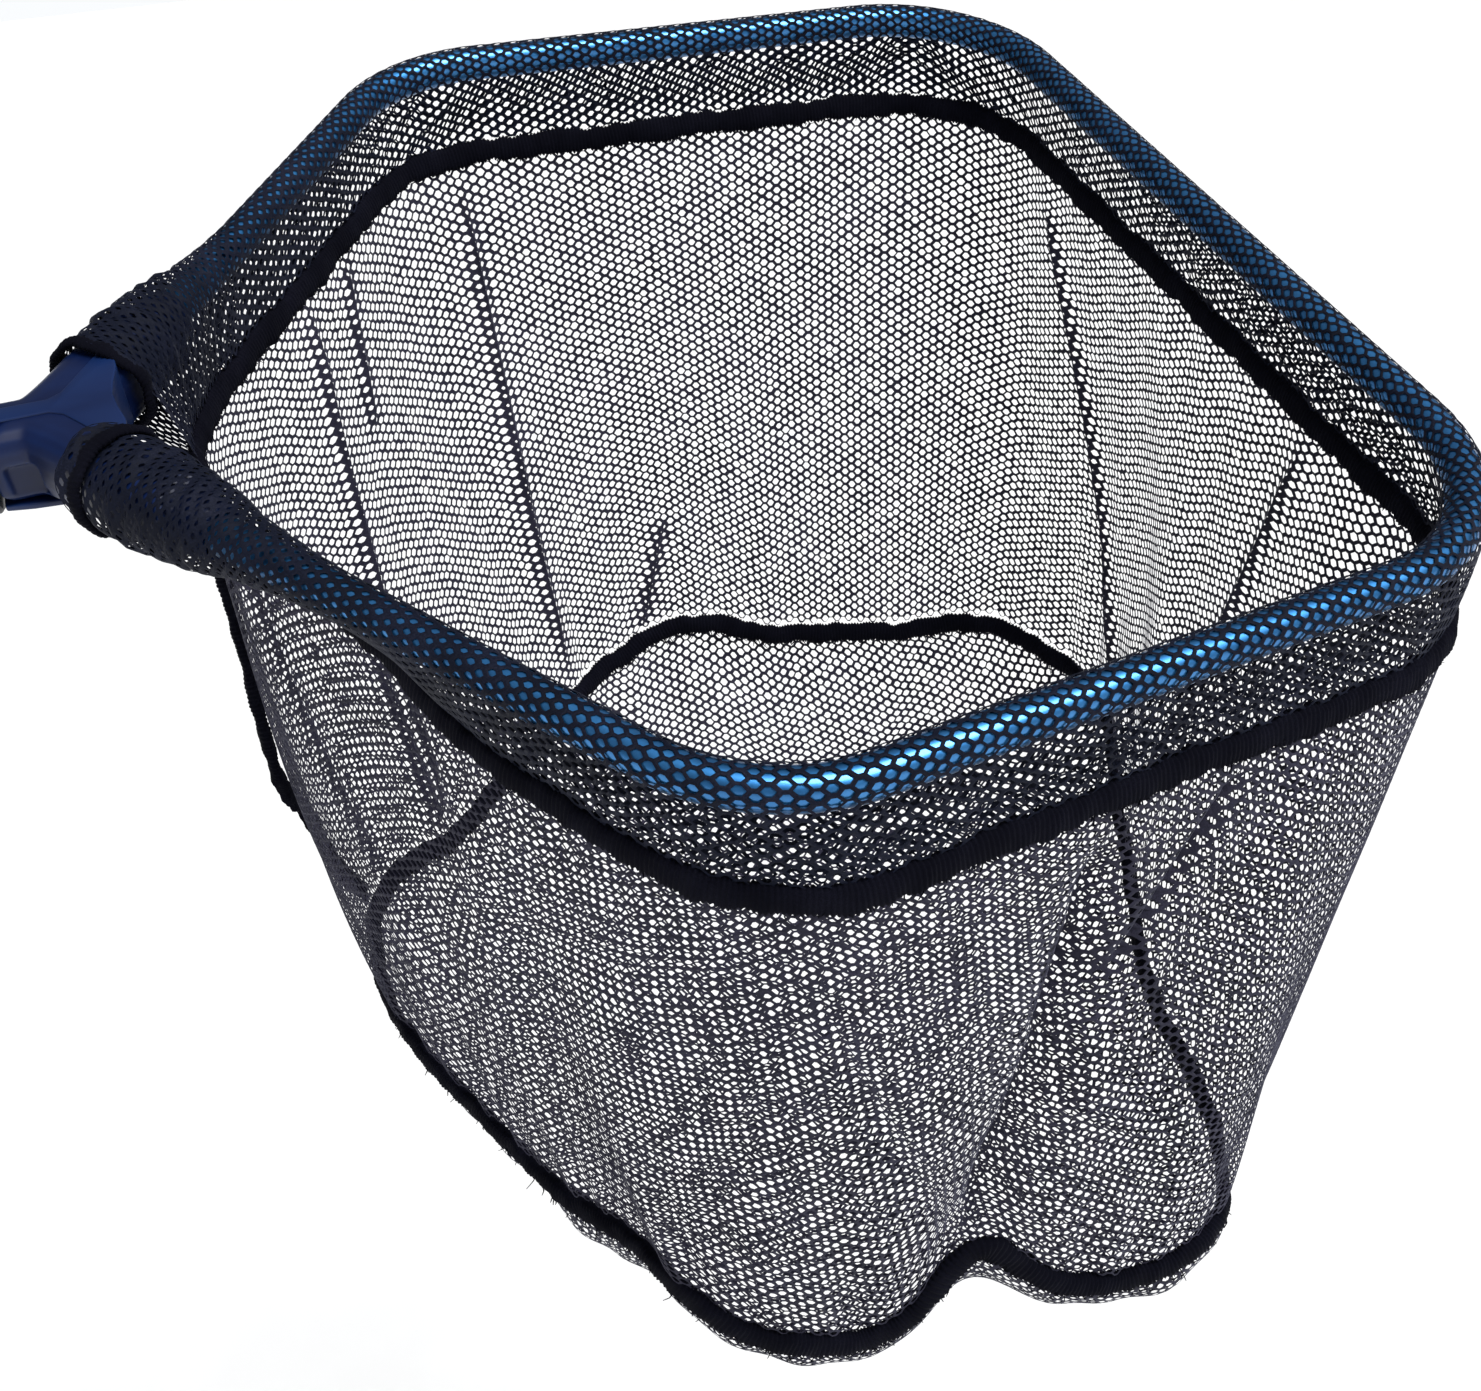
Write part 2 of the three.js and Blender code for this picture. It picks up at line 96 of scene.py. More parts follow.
# Meshes and small helpers.
def newPiece(name, points, faces, paint, stands):
    mesh = bpy.data.meshes.new(name)
    mesh.from_pydata(points, [], faces)
    mesh.validate()
    mesh.polygons.foreach_set("use_smooth", np.ones(len(mesh.polygons), bool))
    mesh.materials.append(paint)
    mesh.update()
    return joinScene(bpy.data.objects.new(name, mesh), "net_head", stands)


def joinScene(piece, body, stands):
    if piece.name not in scene.collection.objects:
        scene.collection.objects.link(piece)
    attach(piece, body)
    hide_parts(*stands)
    return piece


def smoothStep(low, high, value):
    share = np.clip((value - low) / (high - low), 0, 1)
    return share * share * (3 - 2 * share)


# Smooth unevenness along a closed length, from about -1 to 1.
def waves(position, length, wavelengths, seed):
    draw = np.random.default_rng(seed)
    total = np.zeros_like(position)
    for wavelength in wavelengths:
        turns = max(1, round(length / wavelength))
        start = draw.uniform(0, 2 * np.pi)
        total += np.sin(2 * np.pi * turns * position / length + start) * draw.uniform(0.6, 1.0)
    return total / len(wavelengths)


# Materials. Each maker returns a finish with its own grain, colour variation and bump.
def startPaint(name):
    paint = bpy.data.materials.new(name)
    paint.use_nodes = True
    tree = paint.node_tree
    tree.nodes.clear()
    output = tree.nodes.new("ShaderNodeOutputMaterial")
    shader = tree.nodes.new("ShaderNodeBsdfPrincipled")
    tree.links.new(shader.outputs[0], output.inputs["Surface"])
    return paint, tree, shader


def addNode(tree, kind, links=None, **values):
    node = tree.nodes.new("ShaderNode" + kind)
    for key, value in values.items():
        if hasattr(node, key):
            setattr(node, key, value)
        else:
            node.inputs[key.replace("_", " ")].default_value = value
    for key, socket in (links or {}).items():
        tree.links.new(socket, node.inputs[key])
    return node


def addRamp(tree, factor, stops):
    ramp = tree.nodes.new("ShaderNodeValToRGB")
    ramp.color_ramp.elements[0].position, ramp.color_ramp.elements[0].color = stops[0][0], (*stops[0][1], 1)
    ramp.color_ramp.elements[1].position, ramp.color_ramp.elements[1].color = stops[-1][0], (*stops[-1][1], 1)
    for position, colour in stops[1:-1]:
        ramp.color_ramp.elements.new(position).color = (*colour, 1)
    tree.links.new(factor, ramp.inputs["Fac"])
    return ramp.outputs["Color"]


def addRange(tree, value, low, high):
    spread = addNode(tree, "MapRange", {"Value": value}, To_Min=low, To_Max=high)
    return spread.outputs["Result"]


def addBump(tree, height, strength, distance, before=None):
    links = {"Height": height}
    if before is not None:
        links["Normal"] = before
    return addNode(tree, "Bump", links, Strength=strength, Distance=distance).outputs["Normal"]


def objectPlace(tree):
    return addNode(tree, "TexCoord").outputs["Object"]


# Coordinates stretched along one direction, for brushed metal and moulded flow marks.
def stretchedPlace(tree, scale):
    mapping = addNode(tree, "Mapping", {"Vector": objectPlace(tree)})
    mapping.inputs["Scale"].default_value = scale
    return mapping.outputs["Vector"]


def addNoise(tree, place, scale, detail):
    return addNode(tree, "TexNoise", {"Vector": place}, Scale=scale, Detail=detail).outputs["Fac"]


def feed(tree, shader, colour, roughness, normal, **fixed):
    tree.links.new(colour, shader.inputs["Base Color"])
    tree.links.new(roughness, shader.inputs["Roughness"])
    tree.links.new(normal, shader.inputs["Normal"])
    for key, value in fixed.items():
        shader.inputs[key.replace("_", " ")].default_value = value


# Yarn: mottled colour, fibres and twist. The three colours are its shade, body and light.
def makeYarnPaint(name, facts):
    paint, tree, shader = startPaint(name)
    place = objectPlace(tree)
    broad = addNoise(tree, place, 38.0, 3.0)
    fine = addNoise(tree, place, facts["grain"], 4.0)
    blend = addNode(tree, "Math", {0: fine, 1: broad}, operation="MULTIPLY").outputs[0]
    colour = addRamp(tree, blend, list(zip((0.12, 0.26, 0.42), facts["colours"])))
    roughness = addRange(tree, fine, facts["roughness"] - 0.08, facts["roughness"] + 0.1)
    pitch = facts["grain"] * 0.55
    twist = addNode(tree, "TexWave", {"Vector": place}, Scale=pitch, Distortion=2.5, Detail=2.0)
    normal = addBump(tree, twist.outputs["Fac"], 0.35, 0.2 * mm, addBump(tree, fine, 0.5, 0.25 * mm))
    feed(
        tree, shader, colour, roughness, normal, Sheen_Weight=facts["sheen"], Sheen_Roughness=0.45,
        Sheen_Tint=(0.62, 0.66, 0.9, 1), Specular_IOR_Level=facts["specular"],
    )
    return paint


# Moulded plastic: two body colours, and a third, lighter one for a painted edge highlight on its convex
# edges.
def makeMouldedPaint(name, colours, roughness):
    paint, tree, shader = startPaint(name)
    flow = addNoise(tree, stretchedPlace(tree, (22, 60, 60)), 1.0, 4.0)
    pebble = addNoise(tree, objectPlace(tree), 1600.0, 2.0)
    # Painted edge highlight: convex edges, picked out by pointiness, take the lighter third colour.
    highlightPointiness = addNode(tree, "NewGeometry").outputs["Pointiness"]
    edge = addNode(tree, "MapRange", {"Value": highlightPointiness}, From_Min=0.5, From_Max=0.56).outputs["Result"]
    mix = addNode(tree, "Mix", data_type="RGBA")
    tree.links.new(edge, mix.inputs[0])
    tree.links.new(addRamp(tree, flow, [(0.3, colours[0]), (0.7, colours[1])]), mix.inputs[6])
    mix.inputs[7].default_value = (*colours[2], 1)
    feed(
        tree, shader, mix.outputs[2], addRange(tree, flow, roughness - 0.06, roughness + 0.1),
        addBump(tree, pebble, 0.18, 0.06 * mm), Specular_IOR_Level=0.3, Coat_Weight=0.08, Coat_Roughness=0.35,
    )
    return paint


def makeAnodisedPaint():
    paint, tree, shader = startPaint("blueAnodised")
    place = objectPlace(tree)
    cloud = addNoise(tree, place, 26.0, 3.0)
    drawn = addNoise(tree, place, 900.0, 3.0)
    colour = addRamp(tree, cloud, [(0.3, (0.028, 0.18, 0.46)), (0.7, (0.05, 0.26, 0.62))])
    feed(
        tree, shader, colour, addRange(tree, drawn, 0.3, 0.44), addBump(tree, drawn, 0.08, 0.05 * mm),
        Metallic=0.9, Coat_Weight=0.6, Coat_Roughness=0.18,
    )
    return paint


def makeSteelPaint():
    paint, tree, shader = startPaint("springSteel")
    brushed = addNoise(tree, stretchedPlace(tree, (120, 2200, 2200)), 1.0, 4.0)
    stain = addNoise(tree, objectPlace(tree), 90.0, 4.0)
    colour = addRamp(tree, stain, [(0.35, (0.40, 0.41, 0.43)), (0.65, (0.60, 0.61, 0.62))])
    roughness = addRange(tree, brushed, 0.22, 0.42)
    feed(tree, shader, colour, roughness, addBump(tree, brushed, 0.15, 0.04 * mm), Metallic=1.0)
    return paint


nettingPaint = makeYarnPaint("blackNetting", {
    "colours": [(0.008, 0.008, 0.018), (0.017, 0.016, 0.032), (0.032, 0.030, 0.055)],
    "grain": 1500.0, "roughness": 0.66, "sheen": 0.1, "specular": 0.2,
})
# The sleeve is the same black yarn as the wall, painted darker and bluer: painted shade, with the blue of the
# tube under it.
shadedSleevePaint = makeYarnPaint("sleeveNetting", {
    "colours": [(0.0015, 0.0025, 0.008), (0.003, 0.005, 0.015), (0.010, 0.012, 0.028)],
    "grain": 1500.0, "roughness": 0.6, "sheen": 0.03, "specular": 0.12,
})
bindingPaint = makeYarnPaint("blackBinding", {
    "colours": [(0.0012, 0.0013, 0.004), (0.0024, 0.0026, 0.0065), (0.006, 0.0062, 0.013)],
    "grain": 2200.0, "roughness": 0.82, "sheen": 0.012, "specular": 0.06,
})
# The third colour of each moulding is its painted edge highlight.
navyColours = [(0.0004, 0.004, 0.030), (0.0008, 0.009, 0.055), (0.006, 0.026, 0.11)]
navyPaint = makeMouldedPaint("navyMoulding", navyColours, 0.38)
darkColours = [(0.004, 0.005, 0.008), (0.007, 0.008, 0.012), (0.03, 0.033, 0.042)]
darkPaint = makeMouldedPaint("darkMoulding", darkColours, 0.5)
anodisedPaint = makeAnodisedPaint()
steelPaint = makeSteelPaint()
print("finishes made")


# Plan of the hoop, in its own level plane.
def roundedPlan(corners, radii, closed, steps=24):
    corners = [np.array(corner, float) for corner in corners]
    points = []
    for i, corner in enumerate(corners):
        if not closed and i in (0, len(corners) - 1):
            points.append(corner)
            continue
        before = corners[i - 1] - corner
        after = corners[(i + 1) % len(corners)] - corner
        before, after = before / np.linalg.norm(before), after / np.linalg.norm(after)
        half = math.acos(np.clip(before @ after, -1, 1)) / 2
        middle = (before + after) / np.linalg.norm(before + after)
        centre = corner + middle * radii[i] / math.sin(half)
        side = before - middle * (before @ middle)
        side = side / np.linalg.norm(side)
        for angle in np.linspace(math.pi / 2 - half, half - math.pi / 2, steps + 1):
            points.append(centre + radii[i] * (side * math.sin(angle) - middle * math.cos(angle)))
    return np.array(points)


def evenly(points, count, closed):
    if closed:
        points = np.vstack([points, points[:1]])
    steps = np.r_[0, np.cumsum(np.linalg.norm(np.diff(points, axis=0), axis=1))]
    at = np.linspace(0, steps[-1], count + 1)[:-1] if closed else np.linspace(0, steps[-1], count)
    return np.stack([np.interp(at, steps, points[:, k]) for k in range(points.shape[1])], 1), steps[-1]


vertexX = hoop["vertexX"]
rightSide = (vertexX + hoop["sideCorner"][0], -hoop["sideCorner"][1])
rightFront = (vertexX + hoop["frontCorner"][0], -hoop["frontCorner"][1])
leftFront = (rightFront[0], -rightFront[1])
leftSide = (rightSide[0], -rightSide[1])
cornerRadius = hoop["cornerRadius"]


def rolled(points):
    return np.asarray(points) @ rollArray.T


# The bag's plan: one closed loop from the yoke round by the right side.
planSteps = 2400
planCorners = [(vertexX, 0.0), rightSide, rightFront, leftFront, leftSide]
planPoints = roundedPlan(planCorners, [hoop["yokeCornerRadius"], *[cornerRadius] * 4], True)
planPoints = np.roll(planPoints, -12, axis=0)
planPoints, planLength = evenly(planPoints, planSteps, True)
planShare = np.arange(planSteps + 1) / planSteps
planClosed = np.vstack([planPoints, planPoints[:1]])


def planAt(u):
    u = np.mod(u, 1.0)
    return np.stack([np.interp(u, planShare, planClosed[:, k]) for k in range(2)], -1)


bag = {
    "centreX": vertexX + 290 * mm,
    "hemTop": 37.3 * mm,
    "hemHeight": 13 * mm,
    "wallHeight": 283 * mm,
    "baseScale": 0.84,
    "baseTwistDeg": -12,
    "ringHeight": 12 * mm,
    "wallSlip": 0.04,
}
bag["wallTop"] = bag["hemTop"] + bag["hemHeight"] - 2 * mm
bag["wallBottom"] = bag["hemTop"] + bag["hemHeight"] + bag["wallHeight"]

# Where the base ring is pushed out of its plain loop: share round the loop, how far up and out, and how wide.
ringBumps = [
    {"at": 0.02, "up": 4 * mm, "out": 2 * mm, "wide": 0.03},
    {"at": 0.155, "up": 28 * mm, "out": 0, "wide": 0.035},
    {"at": 0.225, "up": -9 * mm, "out": 0, "wide": 0.02},
    {"at": 0.267, "up": 34 * mm, "out": 0, "wide": 0.018},
    {"at": 0.32, "up": -11 * mm, "out": 0, "wide": 0.03},
    {"at": 0.385, "up": 0, "out": -8 * mm, "wide": 0.025},
    {"at": 0.45, "up": 0, "out": -22 * mm, "wide": 0.06},
    {"at": 0.50, "up": 5 * mm, "out": 0, "wide": 0.05},
    {"at": 0.585, "up": 0, "out": 15 * mm, "wide": 0.035},
    {"at": 0.65, "up": 10 * mm, "out": 0, "wide": 0.04},
    {"at": 0.72, "up": 6 * mm, "out": 0, "wide": 0.03},
    {"at": 0.78, "up": 16 * mm, "out": 0, "wide": 0.03},
    {"at": 0.90, "up": 7 * mm, "out": 0, "wide": 0.02},
    {"at": 0.975, "up": 18 * mm, "out": 10 * mm, "wide": 0.035},
]
# Where the hem hangs away from a plain loop under the hoop.
hemBumps = [
    {"at": 0.05, "up": 14 * mm, "out": -26 * mm, "wide": 0.05},
    {"at": 0.985, "up": 0, "out": -16 * mm, "wide": 0.03},
]
hemUneven = {"up": 1.3 * mm, "out": 1.2 * mm, "wavelengths": (0.19, 0.083, 0.041), "seeds": (21, 22)}
ringUneven = {"up": 2.4 * mm, "out": 1.5 * mm, "wavelengths": (0.22, 0.105, 0.052, 0.03), "seeds": (31, 32)}


def loopPoint(u, scale, twistDeg, drop):
    level = planAt(u) - (bag["centreX"], 0)
    turn = math.radians(twistDeg)
    x = scale * (level[..., 0] * math.cos(turn) - level[..., 1] * math.sin(turn)) + bag["centreX"]
    y = scale * (level[..., 0] * math.sin(turn) + level[..., 1] * math.cos(turn))
    point = rolled(np.stack([x, y, np.zeros_like(x)], -1))
    point[..., 2] -= drop
    return point


# Level direction that faces out of a loop.
def loopOut(u, scale, twistDeg):
    along = loopPoint(u + 2e-3, scale, twistDeg, 0) - loopPoint(u - 2e-3, scale, twistDeg, 0)
    out = np.stack([along[..., 1], -along[..., 0], np.zeros_like(along[..., 0])], -1)
    return out / np.linalg.norm(out, axis=-1, keepdims=True)


def ringOut(u):
    return loopOut(u, bag["baseScale"], bag["baseTwistDeg"])


# Makes a loop uneven, then adds bumps, each a smooth push up and out about one place of it.
def pushed(point, out, u, uneven, bumps):
    run = u * planLength
    up = uneven["up"] * waves(run, planLength, uneven["wavelengths"], uneven["seeds"][0])
    away = uneven["out"] * waves(run, planLength, uneven["wavelengths"], uneven["seeds"][1])
    for bump in bumps:
        reach = np.mod(u - bump["at"] + 0.5, 1) - 0.5
        share = np.exp(-((reach / bump["wide"]) ** 2))
        up, away = up + bump["up"] * share, away + bump["out"] * share
    point[..., 2] += up
    return point + out * away[..., None]


def hemPoint(u, drop):
    return pushed(loopPoint(u, 1, 0, bag["hemTop"] + drop), loopOut(u, 1, 0), u, hemUneven, hemBumps)


def ringPoint(u):
    point = loopPoint(u, bag["baseScale"], bag["baseTwistDeg"], bag["wallBottom"])
    return pushed(point, ringOut(u), u, ringUneven, ringBumps)


# Creases of the wall: shares round and down it of their two ends, and how deep and wide each is.
wallCreases = [
    {"start": (0.805, 0.03), "end": (0.809, 0.97), "deep": -5 * mm, "wide": 3.2 * mm},
    {"start": (0.891, 0.01), "end": (0.896, 0.97), "deep": -5 * mm, "wide": 3.2 * mm},
    {"start": (0.866, 0.02), "end": (0.871, 0.30), "deep": -3 * mm, "wide": 2.6 * mm},
    {"start": (0.590, 0.05), "end": (0.536, 0.97), "deep": -5 * mm, "wide": 3.4 * mm},
    {"start": (0.445, 0.03), "end": (0.476, 0.93), "deep": -4 * mm, "wide": 3.2 * mm},
    {"start": (0.750, 0.78), "end": (0.766, 1.0), "deep": -3 * mm, "wide": 3 * mm},
    {"start": (0.262, 0.04), "end": (0.222, 1.0), "deep": -15 * mm, "wide": 11 * mm, "shut": 0.3},
    {"start": (0.256, 0.22), "end": (0.244, 0.42), "deep": -4 * mm, "wide": 2.6 * mm},
    {"start": (0.296, 0.02), "end": (0.262, 0.30), "deep": -6 * mm, "wide": 4 * mm},
    {"start": (0.960, 0.20), "end": (0.933, 1.0), "deep": -4 * mm, "wide": 3.4 * mm},
    {"start": (0.903, 0.60), "end": (0.902, 0.98), "deep": -4 * mm, "wide": 3 * mm},
]
wall = {
    "columns": 376,
    "rows": 59,
    "belly": 7 * mm,
    "foldLengths": (0.24, 0.13, 0.075),
    "foldDeep": 5 * mm,
    "shutReach": 3.6 * mm,
    "gatherLengths": (0.062, 0.04, 0.027),
    "gatherDeep": 2.6 * mm,
    "topGatherDeep": 1.17 * mm,
    "hole": 0.69,
    "shut": 0.92,
    "drawn": 0.8,
    "seed": 51,
}


def wallPoint(u, v):
    along = u * planLength
    top = hemPoint(u, bag["wallTop"] - bag["hemTop"])
    slipped = u + bag["wallSlip"]
    point = top + (ringPoint(slipped) - top) * v[..., None]
    out = loopOut(u, 1, 0) * (1 - v)[..., None] + ringOut(slipped) * v[..., None]
    out /= np.linalg.norm(out, axis=-1, keepdims=True)
    free = np.sin(np.pi * v)
    push = wall["belly"] * free
    push = push + wall["foldDeep"] * free * waves(along + 0.06 * v, planLength, wall["foldLengths"], 41)
    low = smoothStep(0.55, 0.95, v)
    push = push + wall["gatherDeep"] * low * waves(along, planLength, wall["gatherLengths"], 42)
    high = 1 - smoothStep(0.0, 0.25, v)
    push = push + wall["topGatherDeep"] * high * waves(along, planLength, wall["gatherLengths"], 43)
    for crease in wallCreases:
        away, share = creaseReach(u, v, crease)
        push = push + crease["deep"] * share * np.exp(-np.abs(away) / crease["wide"])
    return point + out * push[..., None], out


# Signed distance from a crease, and how strongly it shows there.
def creaseReach(u, v, crease):
    start, end = np.array(crease["start"]), np.array(crease["end"])
    length = end[1] - start[1]
    run = (v - start[1]) / length
    middle = start[0] + (end[0] - start[0]) * np.clip(run, 0, 1)
    away = (np.mod(u - middle + 0.5, 1) - 0.5) * planLength * (1 - 0.16 * v)
    fade = smoothStep(-0.02, 0.12, run) * (1 - smoothStep(0.85, 1.03, run))
    return away, fade


# Creases draw the netting's columns together, which makes them show dark.
def pinched(u, v):
    moved = u
    for crease in wallCreases:
        away, share = creaseReach(u, v, crease)
        near = np.exp(-((away / (1.7 * crease["wide"])) ** 2))
        moved = moved - wall["drawn"] * share * away * near / planLength
    return moved


# Knitted netting: six-sided holes in staggered columns, each strand raised along its middle.
hexAcross = np.array([0.744, 0.256, -0.256, -0.744, -0.256, 0.256])
hexUp = np.array([0.0, 0.5, 0.5, 0.0, -0.5, -0.5])
knit = {"ridge": 0.26 * mm, "slack": 0.035, "sizeVaries": 0.05}


def nettingArrays(facts, closed, place, hole, keep=None):
    columns, rows, ridge, slack = facts["columns"], facts["rows"], knit["ridge"], knit["slack"]
    draw = np.random.default_rng(facts["seed"])
    first = 0 if closed else -1
    total = columns if closed else columns + 2
    deep = rows + 2
    column, row = np.meshgrid(np.arange(total) + first, np.arange(deep) - 1, indexing="ij")
    odd = np.abs(column) % 2
    across, down = column.astype(float), row + 0.5 * odd

    def jitter():
        return draw.normal(0, slack, across.shape)

    knotAcross = np.stack([across + hexAcross[0] + jitter(), across + hexAcross[1] + jitter()])
    knotDown = np.stack([down + jitter(), down + hexUp[1] + jitter()])
    index = np.arange(total * deep).reshape(total, deep)
    inner = (row >= 0) & (row < rows)
    if not closed:
        inner &= (column >= 0) & (column < columns)
    cells = np.argwhere(inner)
    c, r = cells[:, 0], cells[:, 1]
    lift = odd[c, r]
    left = (c - 1) % total
    size = total * deep
    ring = np.stack([
        index[c, r],
        size + index[c, r],
        index[left, r + lift],
        size + index[left, r - 1 + lift],
        index[left, r - 1 + lift],
        size + index[c, r - 1],
    ], 1)
    swell = 1 + draw.normal(0, knit["sizeVaries"], len(c))
    middleAcross = across[c, r] + draw.normal(0, slack, len(c))
    middleDown = down[c, r] + draw.normal(0, slack, len(c))
    swell = (swell * hole(middleAcross, middleDown))[:, None]
    holeAcross = middleAcross[:, None] + hexAcross * swell
    holeDown = middleDown[:, None] + hexUp * swell
    if keep is not None:
        kept = keep(middleAcross, middleDown)
        ring, holeAcross, holeDown = ring[kept], holeAcross[kept], holeDown[kept]
    knots = place(knotAcross.reshape(-1), knotDown.reshape(-1), ridge)
    edges = place(holeAcross.reshape(-1), holeDown.reshape(-1), -0.4 * ridge)
    used, ring = np.unique(ring, return_inverse=True)
    ring = ring.reshape(-1, 6)
    hollow = len(used) + np.arange(len(ring) * 6).reshape(-1, 6)
    faces = np.stack([ring, np.roll(ring, -1, 1), np.roll(hollow, -1, 1), hollow], -1).reshape(-1, 4)
    return np.vstack([knots[used], edges]), faces


def wallShares(across, down):
    return across / wall["columns"], (down + 0.25) / (wall["rows"] + 0.5)


def placeOnWall(across, down, lift):
    u, v = wallShares(across, down)
    point, out = wallPoint(pinched(u, v), v)
    return point + out * lift


# Holes are drawn shut along a crease.
def wallHole(across, down):
    u, v = wallShares(across, down)
    shut = np.zeros_like(u)
    for crease in wallCreases:
        away, share = creaseReach(u, v, crease)
        near = np.exp(-((away / wall["shutReach"]) ** 2))
        shut = np.maximum(shut, share * crease.get("shut", wall["shut"]) * near)
    return wall["hole"] * (1 - shut)


points, faces = nettingArrays(wall, True, placeOnWall, wallHole)
wallNetting = newPiece("wall_netting", points, faces, nettingPaint, ["wall_panel"])
print("wall netting", len(faces))


# Overlocked seams: a flat core wrapped in slanting thread, with loose ends of netting under it.
stitch = {"step": 0.5 * mm, "pitch": 2.0 * mm}


def seamArrays(pointAt, outAt, length, facts, closed):
    count = int(length / stitch["step"])
    share = np.arange(count) / count if closed else np.linspace(0, 1, count)
    centre, out = pointAt(share), outAt(share)
    turns = round(length / stitch["pitch"])
    sides = 12
    angle = 2 * np.pi * np.arange(sides) / sides
    across = np.sign(np.cos(angle)) * np.abs(np.cos(angle)) ** 0.75
    upward = np.sign(np.sin(angle)) * np.abs(np.sin(angle)) ** 0.75
    thread = 1 + facts["stitchDeep"] * np.cos(2 * np.pi * turns * share[:, None] + angle[None, :])
    thread *= 1 + 0.06 * np.cos(2 * np.pi * round(turns / 5.3) * share[:, None] - 2 * angle[None, :])
    fat = 1 + facts["uneven"] * waves(share * length, length, facts["wavelengths"], facts["seed"])
    tall = 1 + facts["uneven"] * waves(share * length, length, facts["wavelengths"], facts["seed"] + 1)
    if closed:
        along = np.roll(centre, -1, 0) - np.roll(centre, 1, 0)
    else:
        along = np.gradient(centre, axis=0)
        taper = np.clip(np.minimum(share, 1 - share) * length / facts["height"], 0.35, 1)
        fat, tall = fat * taper, tall * taper
    along /= np.linalg.norm(along, axis=1, keepdims=True)
    up = np.cross(along, out)
    up /= np.linalg.norm(up, axis=1, keepdims=True)
    up[up[:, 2] < 0] *= -1 if closed else 1
    side = facts["thick"] / 2 * fat[:, None] * thread * across[None, :]
    rise = facts["height"] / 2 * tall[:, None] * thread * upward[None, :]
    points = centre[:, None, :] + out[:, None, :] * side[..., None] + up[:, None, :] * rise[..., None]
    index = np.arange(count * sides).reshape(count, sides)
    rows = count if closed else count - 1
    here, there = index[:rows], np.roll(index, -1, 0)[:rows]
    faces = np.stack([here, np.roll(here, -1, 1), np.roll(there, -1, 1), there], -1).reshape(-1, 4).tolist()
    if not closed:
        faces += [index[0, ::-1].tolist(), index[-1].tolist()]
    return points.reshape(-1, 3), faces


# Loose ends: three-sided strands that lean and curl out from under a seam.
def fringeArrays(pointAt, outAt, facts, first):
    draw = np.random.default_rng(facts["seed"] + 5)
    count = facts["ends"]
    u = draw.uniform(0, 1, count)
    base = pointAt(u)
    out = outAt(u)
    along = np.stack([-out[:, 1], out[:, 0], np.zeros(count)], 1)
    base = base + out * (draw.uniform(-0.4, 0.4, count) * facts["thick"])[:, None]
    base[:, 2] -= facts["height"] * draw.uniform(0.25, 0.45, count)
    lean = out * draw.normal(0, 0.35, count)[:, None] + along * draw.normal(0, 0.5, count)[:, None]
    heading = lean - (0, 0, 1)
    curl = out * draw.normal(0, 0.3, count)[:, None] + along * draw.normal(0, 0.5, count)[:, None]
    reach = draw.uniform(*facts["endLength"], count)
    points, faces = [], []
    for step, radius in ((0, 0.42), (0.5, 0.36), (1.0, 0.24)):
        middle = base + heading * (reach * step)[:, None] + curl * (reach * step * step)[:, None]
        for k in range(3):
            angle = 2 * math.pi * k / 3
            points.append(middle + (out * math.cos(angle) + along * math.sin(angle)) * radius * mm)
    points = np.stack(points, 1).reshape(-1, 3)
    start = first + 9 * np.arange(count)
    for level in (0, 3):
        for k in range(3):
            a, b = level + k, level + (k + 1) % 3
            faces.append(np.stack([start + a, start + b, start + b + 3, start + a + 3], 1))
    return points, np.vstack(faces).tolist() + np.stack([start + 6, start + 7, start + 8], 1).tolist()


def makeSeam(name, pointAt, outAt, length, facts, stands, closed=True):
    points, faces = seamArrays(pointAt, outAt, length, facts, closed)
    if facts["ends"]:
        morePoints, moreFaces = fringeArrays(pointAt, outAt, facts, len(points))
        points, faces = np.vstack([points, morePoints]), faces + moreFaces
    return newPiece(name, points, faces, bindingPaint, stands)


hemSeam = {
    "height": 12.2 * mm,
    "thick": 6.2 * mm,
    "stitchDeep": 0.09,
    "uneven": 0.22,
    "wavelengths": (0.06, 0.027, 0.013),
    "ends": 900,
    "endLength": (1 * mm, 2.8 * mm),
    "middle": 6.5 * mm,
    "seed": 61,
}
ringSeam = {
    "height": 12 * mm,
    "thick": 6.6 * mm,
    "stitchDeep": 0.1,
    "uneven": 0.24,
    "wavelengths": (0.07, 0.03, 0.014),
    "ends": 1100,
    "endLength": (1.5 * mm, 5 * mm),
    "middle": 6 * mm,
    "seed": 71,
}
# The wall's seam wanders round the bag on its way down, and bulges out half way.
wallSeam = {
    "height": 9 * mm,
    "thick": 5.4 * mm,
    "stitchDeep": 0.1,
    "uneven": 0.28,
    "wavelengths": (0.05, 0.023),
    "ends": 0,
    "path": [(0, -0.012), (0.4, 0.0), (0.55, -0.02), (0.66, -0.038), (0.74, -0.035), (1, -0.057)],
    "stand": 2.4 * mm,
    "bulge": 3 * mm,
    "seed": 81,
}


def hemMiddle(u):
    return hemPoint(u, hemSeam["middle"])


def hemOut(u):
    return loopOut(u, 1, 0)


def ringMiddle(u):
    point = ringPoint(u)
    point[..., 2] -= ringSeam["middle"]
    return point


ringLength = planLength * bag["baseScale"]
hemPiece = makeSeam("hem_overlock", hemMiddle, hemOut, planLength, hemSeam, ["hem_binding"])
ringPiece = makeSeam("base_overlock", ringMiddle, ringOut, ringLength, ringSeam, ["base_binding"])


def seamShare(share):
    v = 0.015 + 0.97 * share
    known = np.array(wallSeam["path"])
    bend = np.interp(v[:, None] + np.linspace(-0.06, 0.06, 9), known[:, 0], known[:, 1])
    return bend.mean(axis=1), v


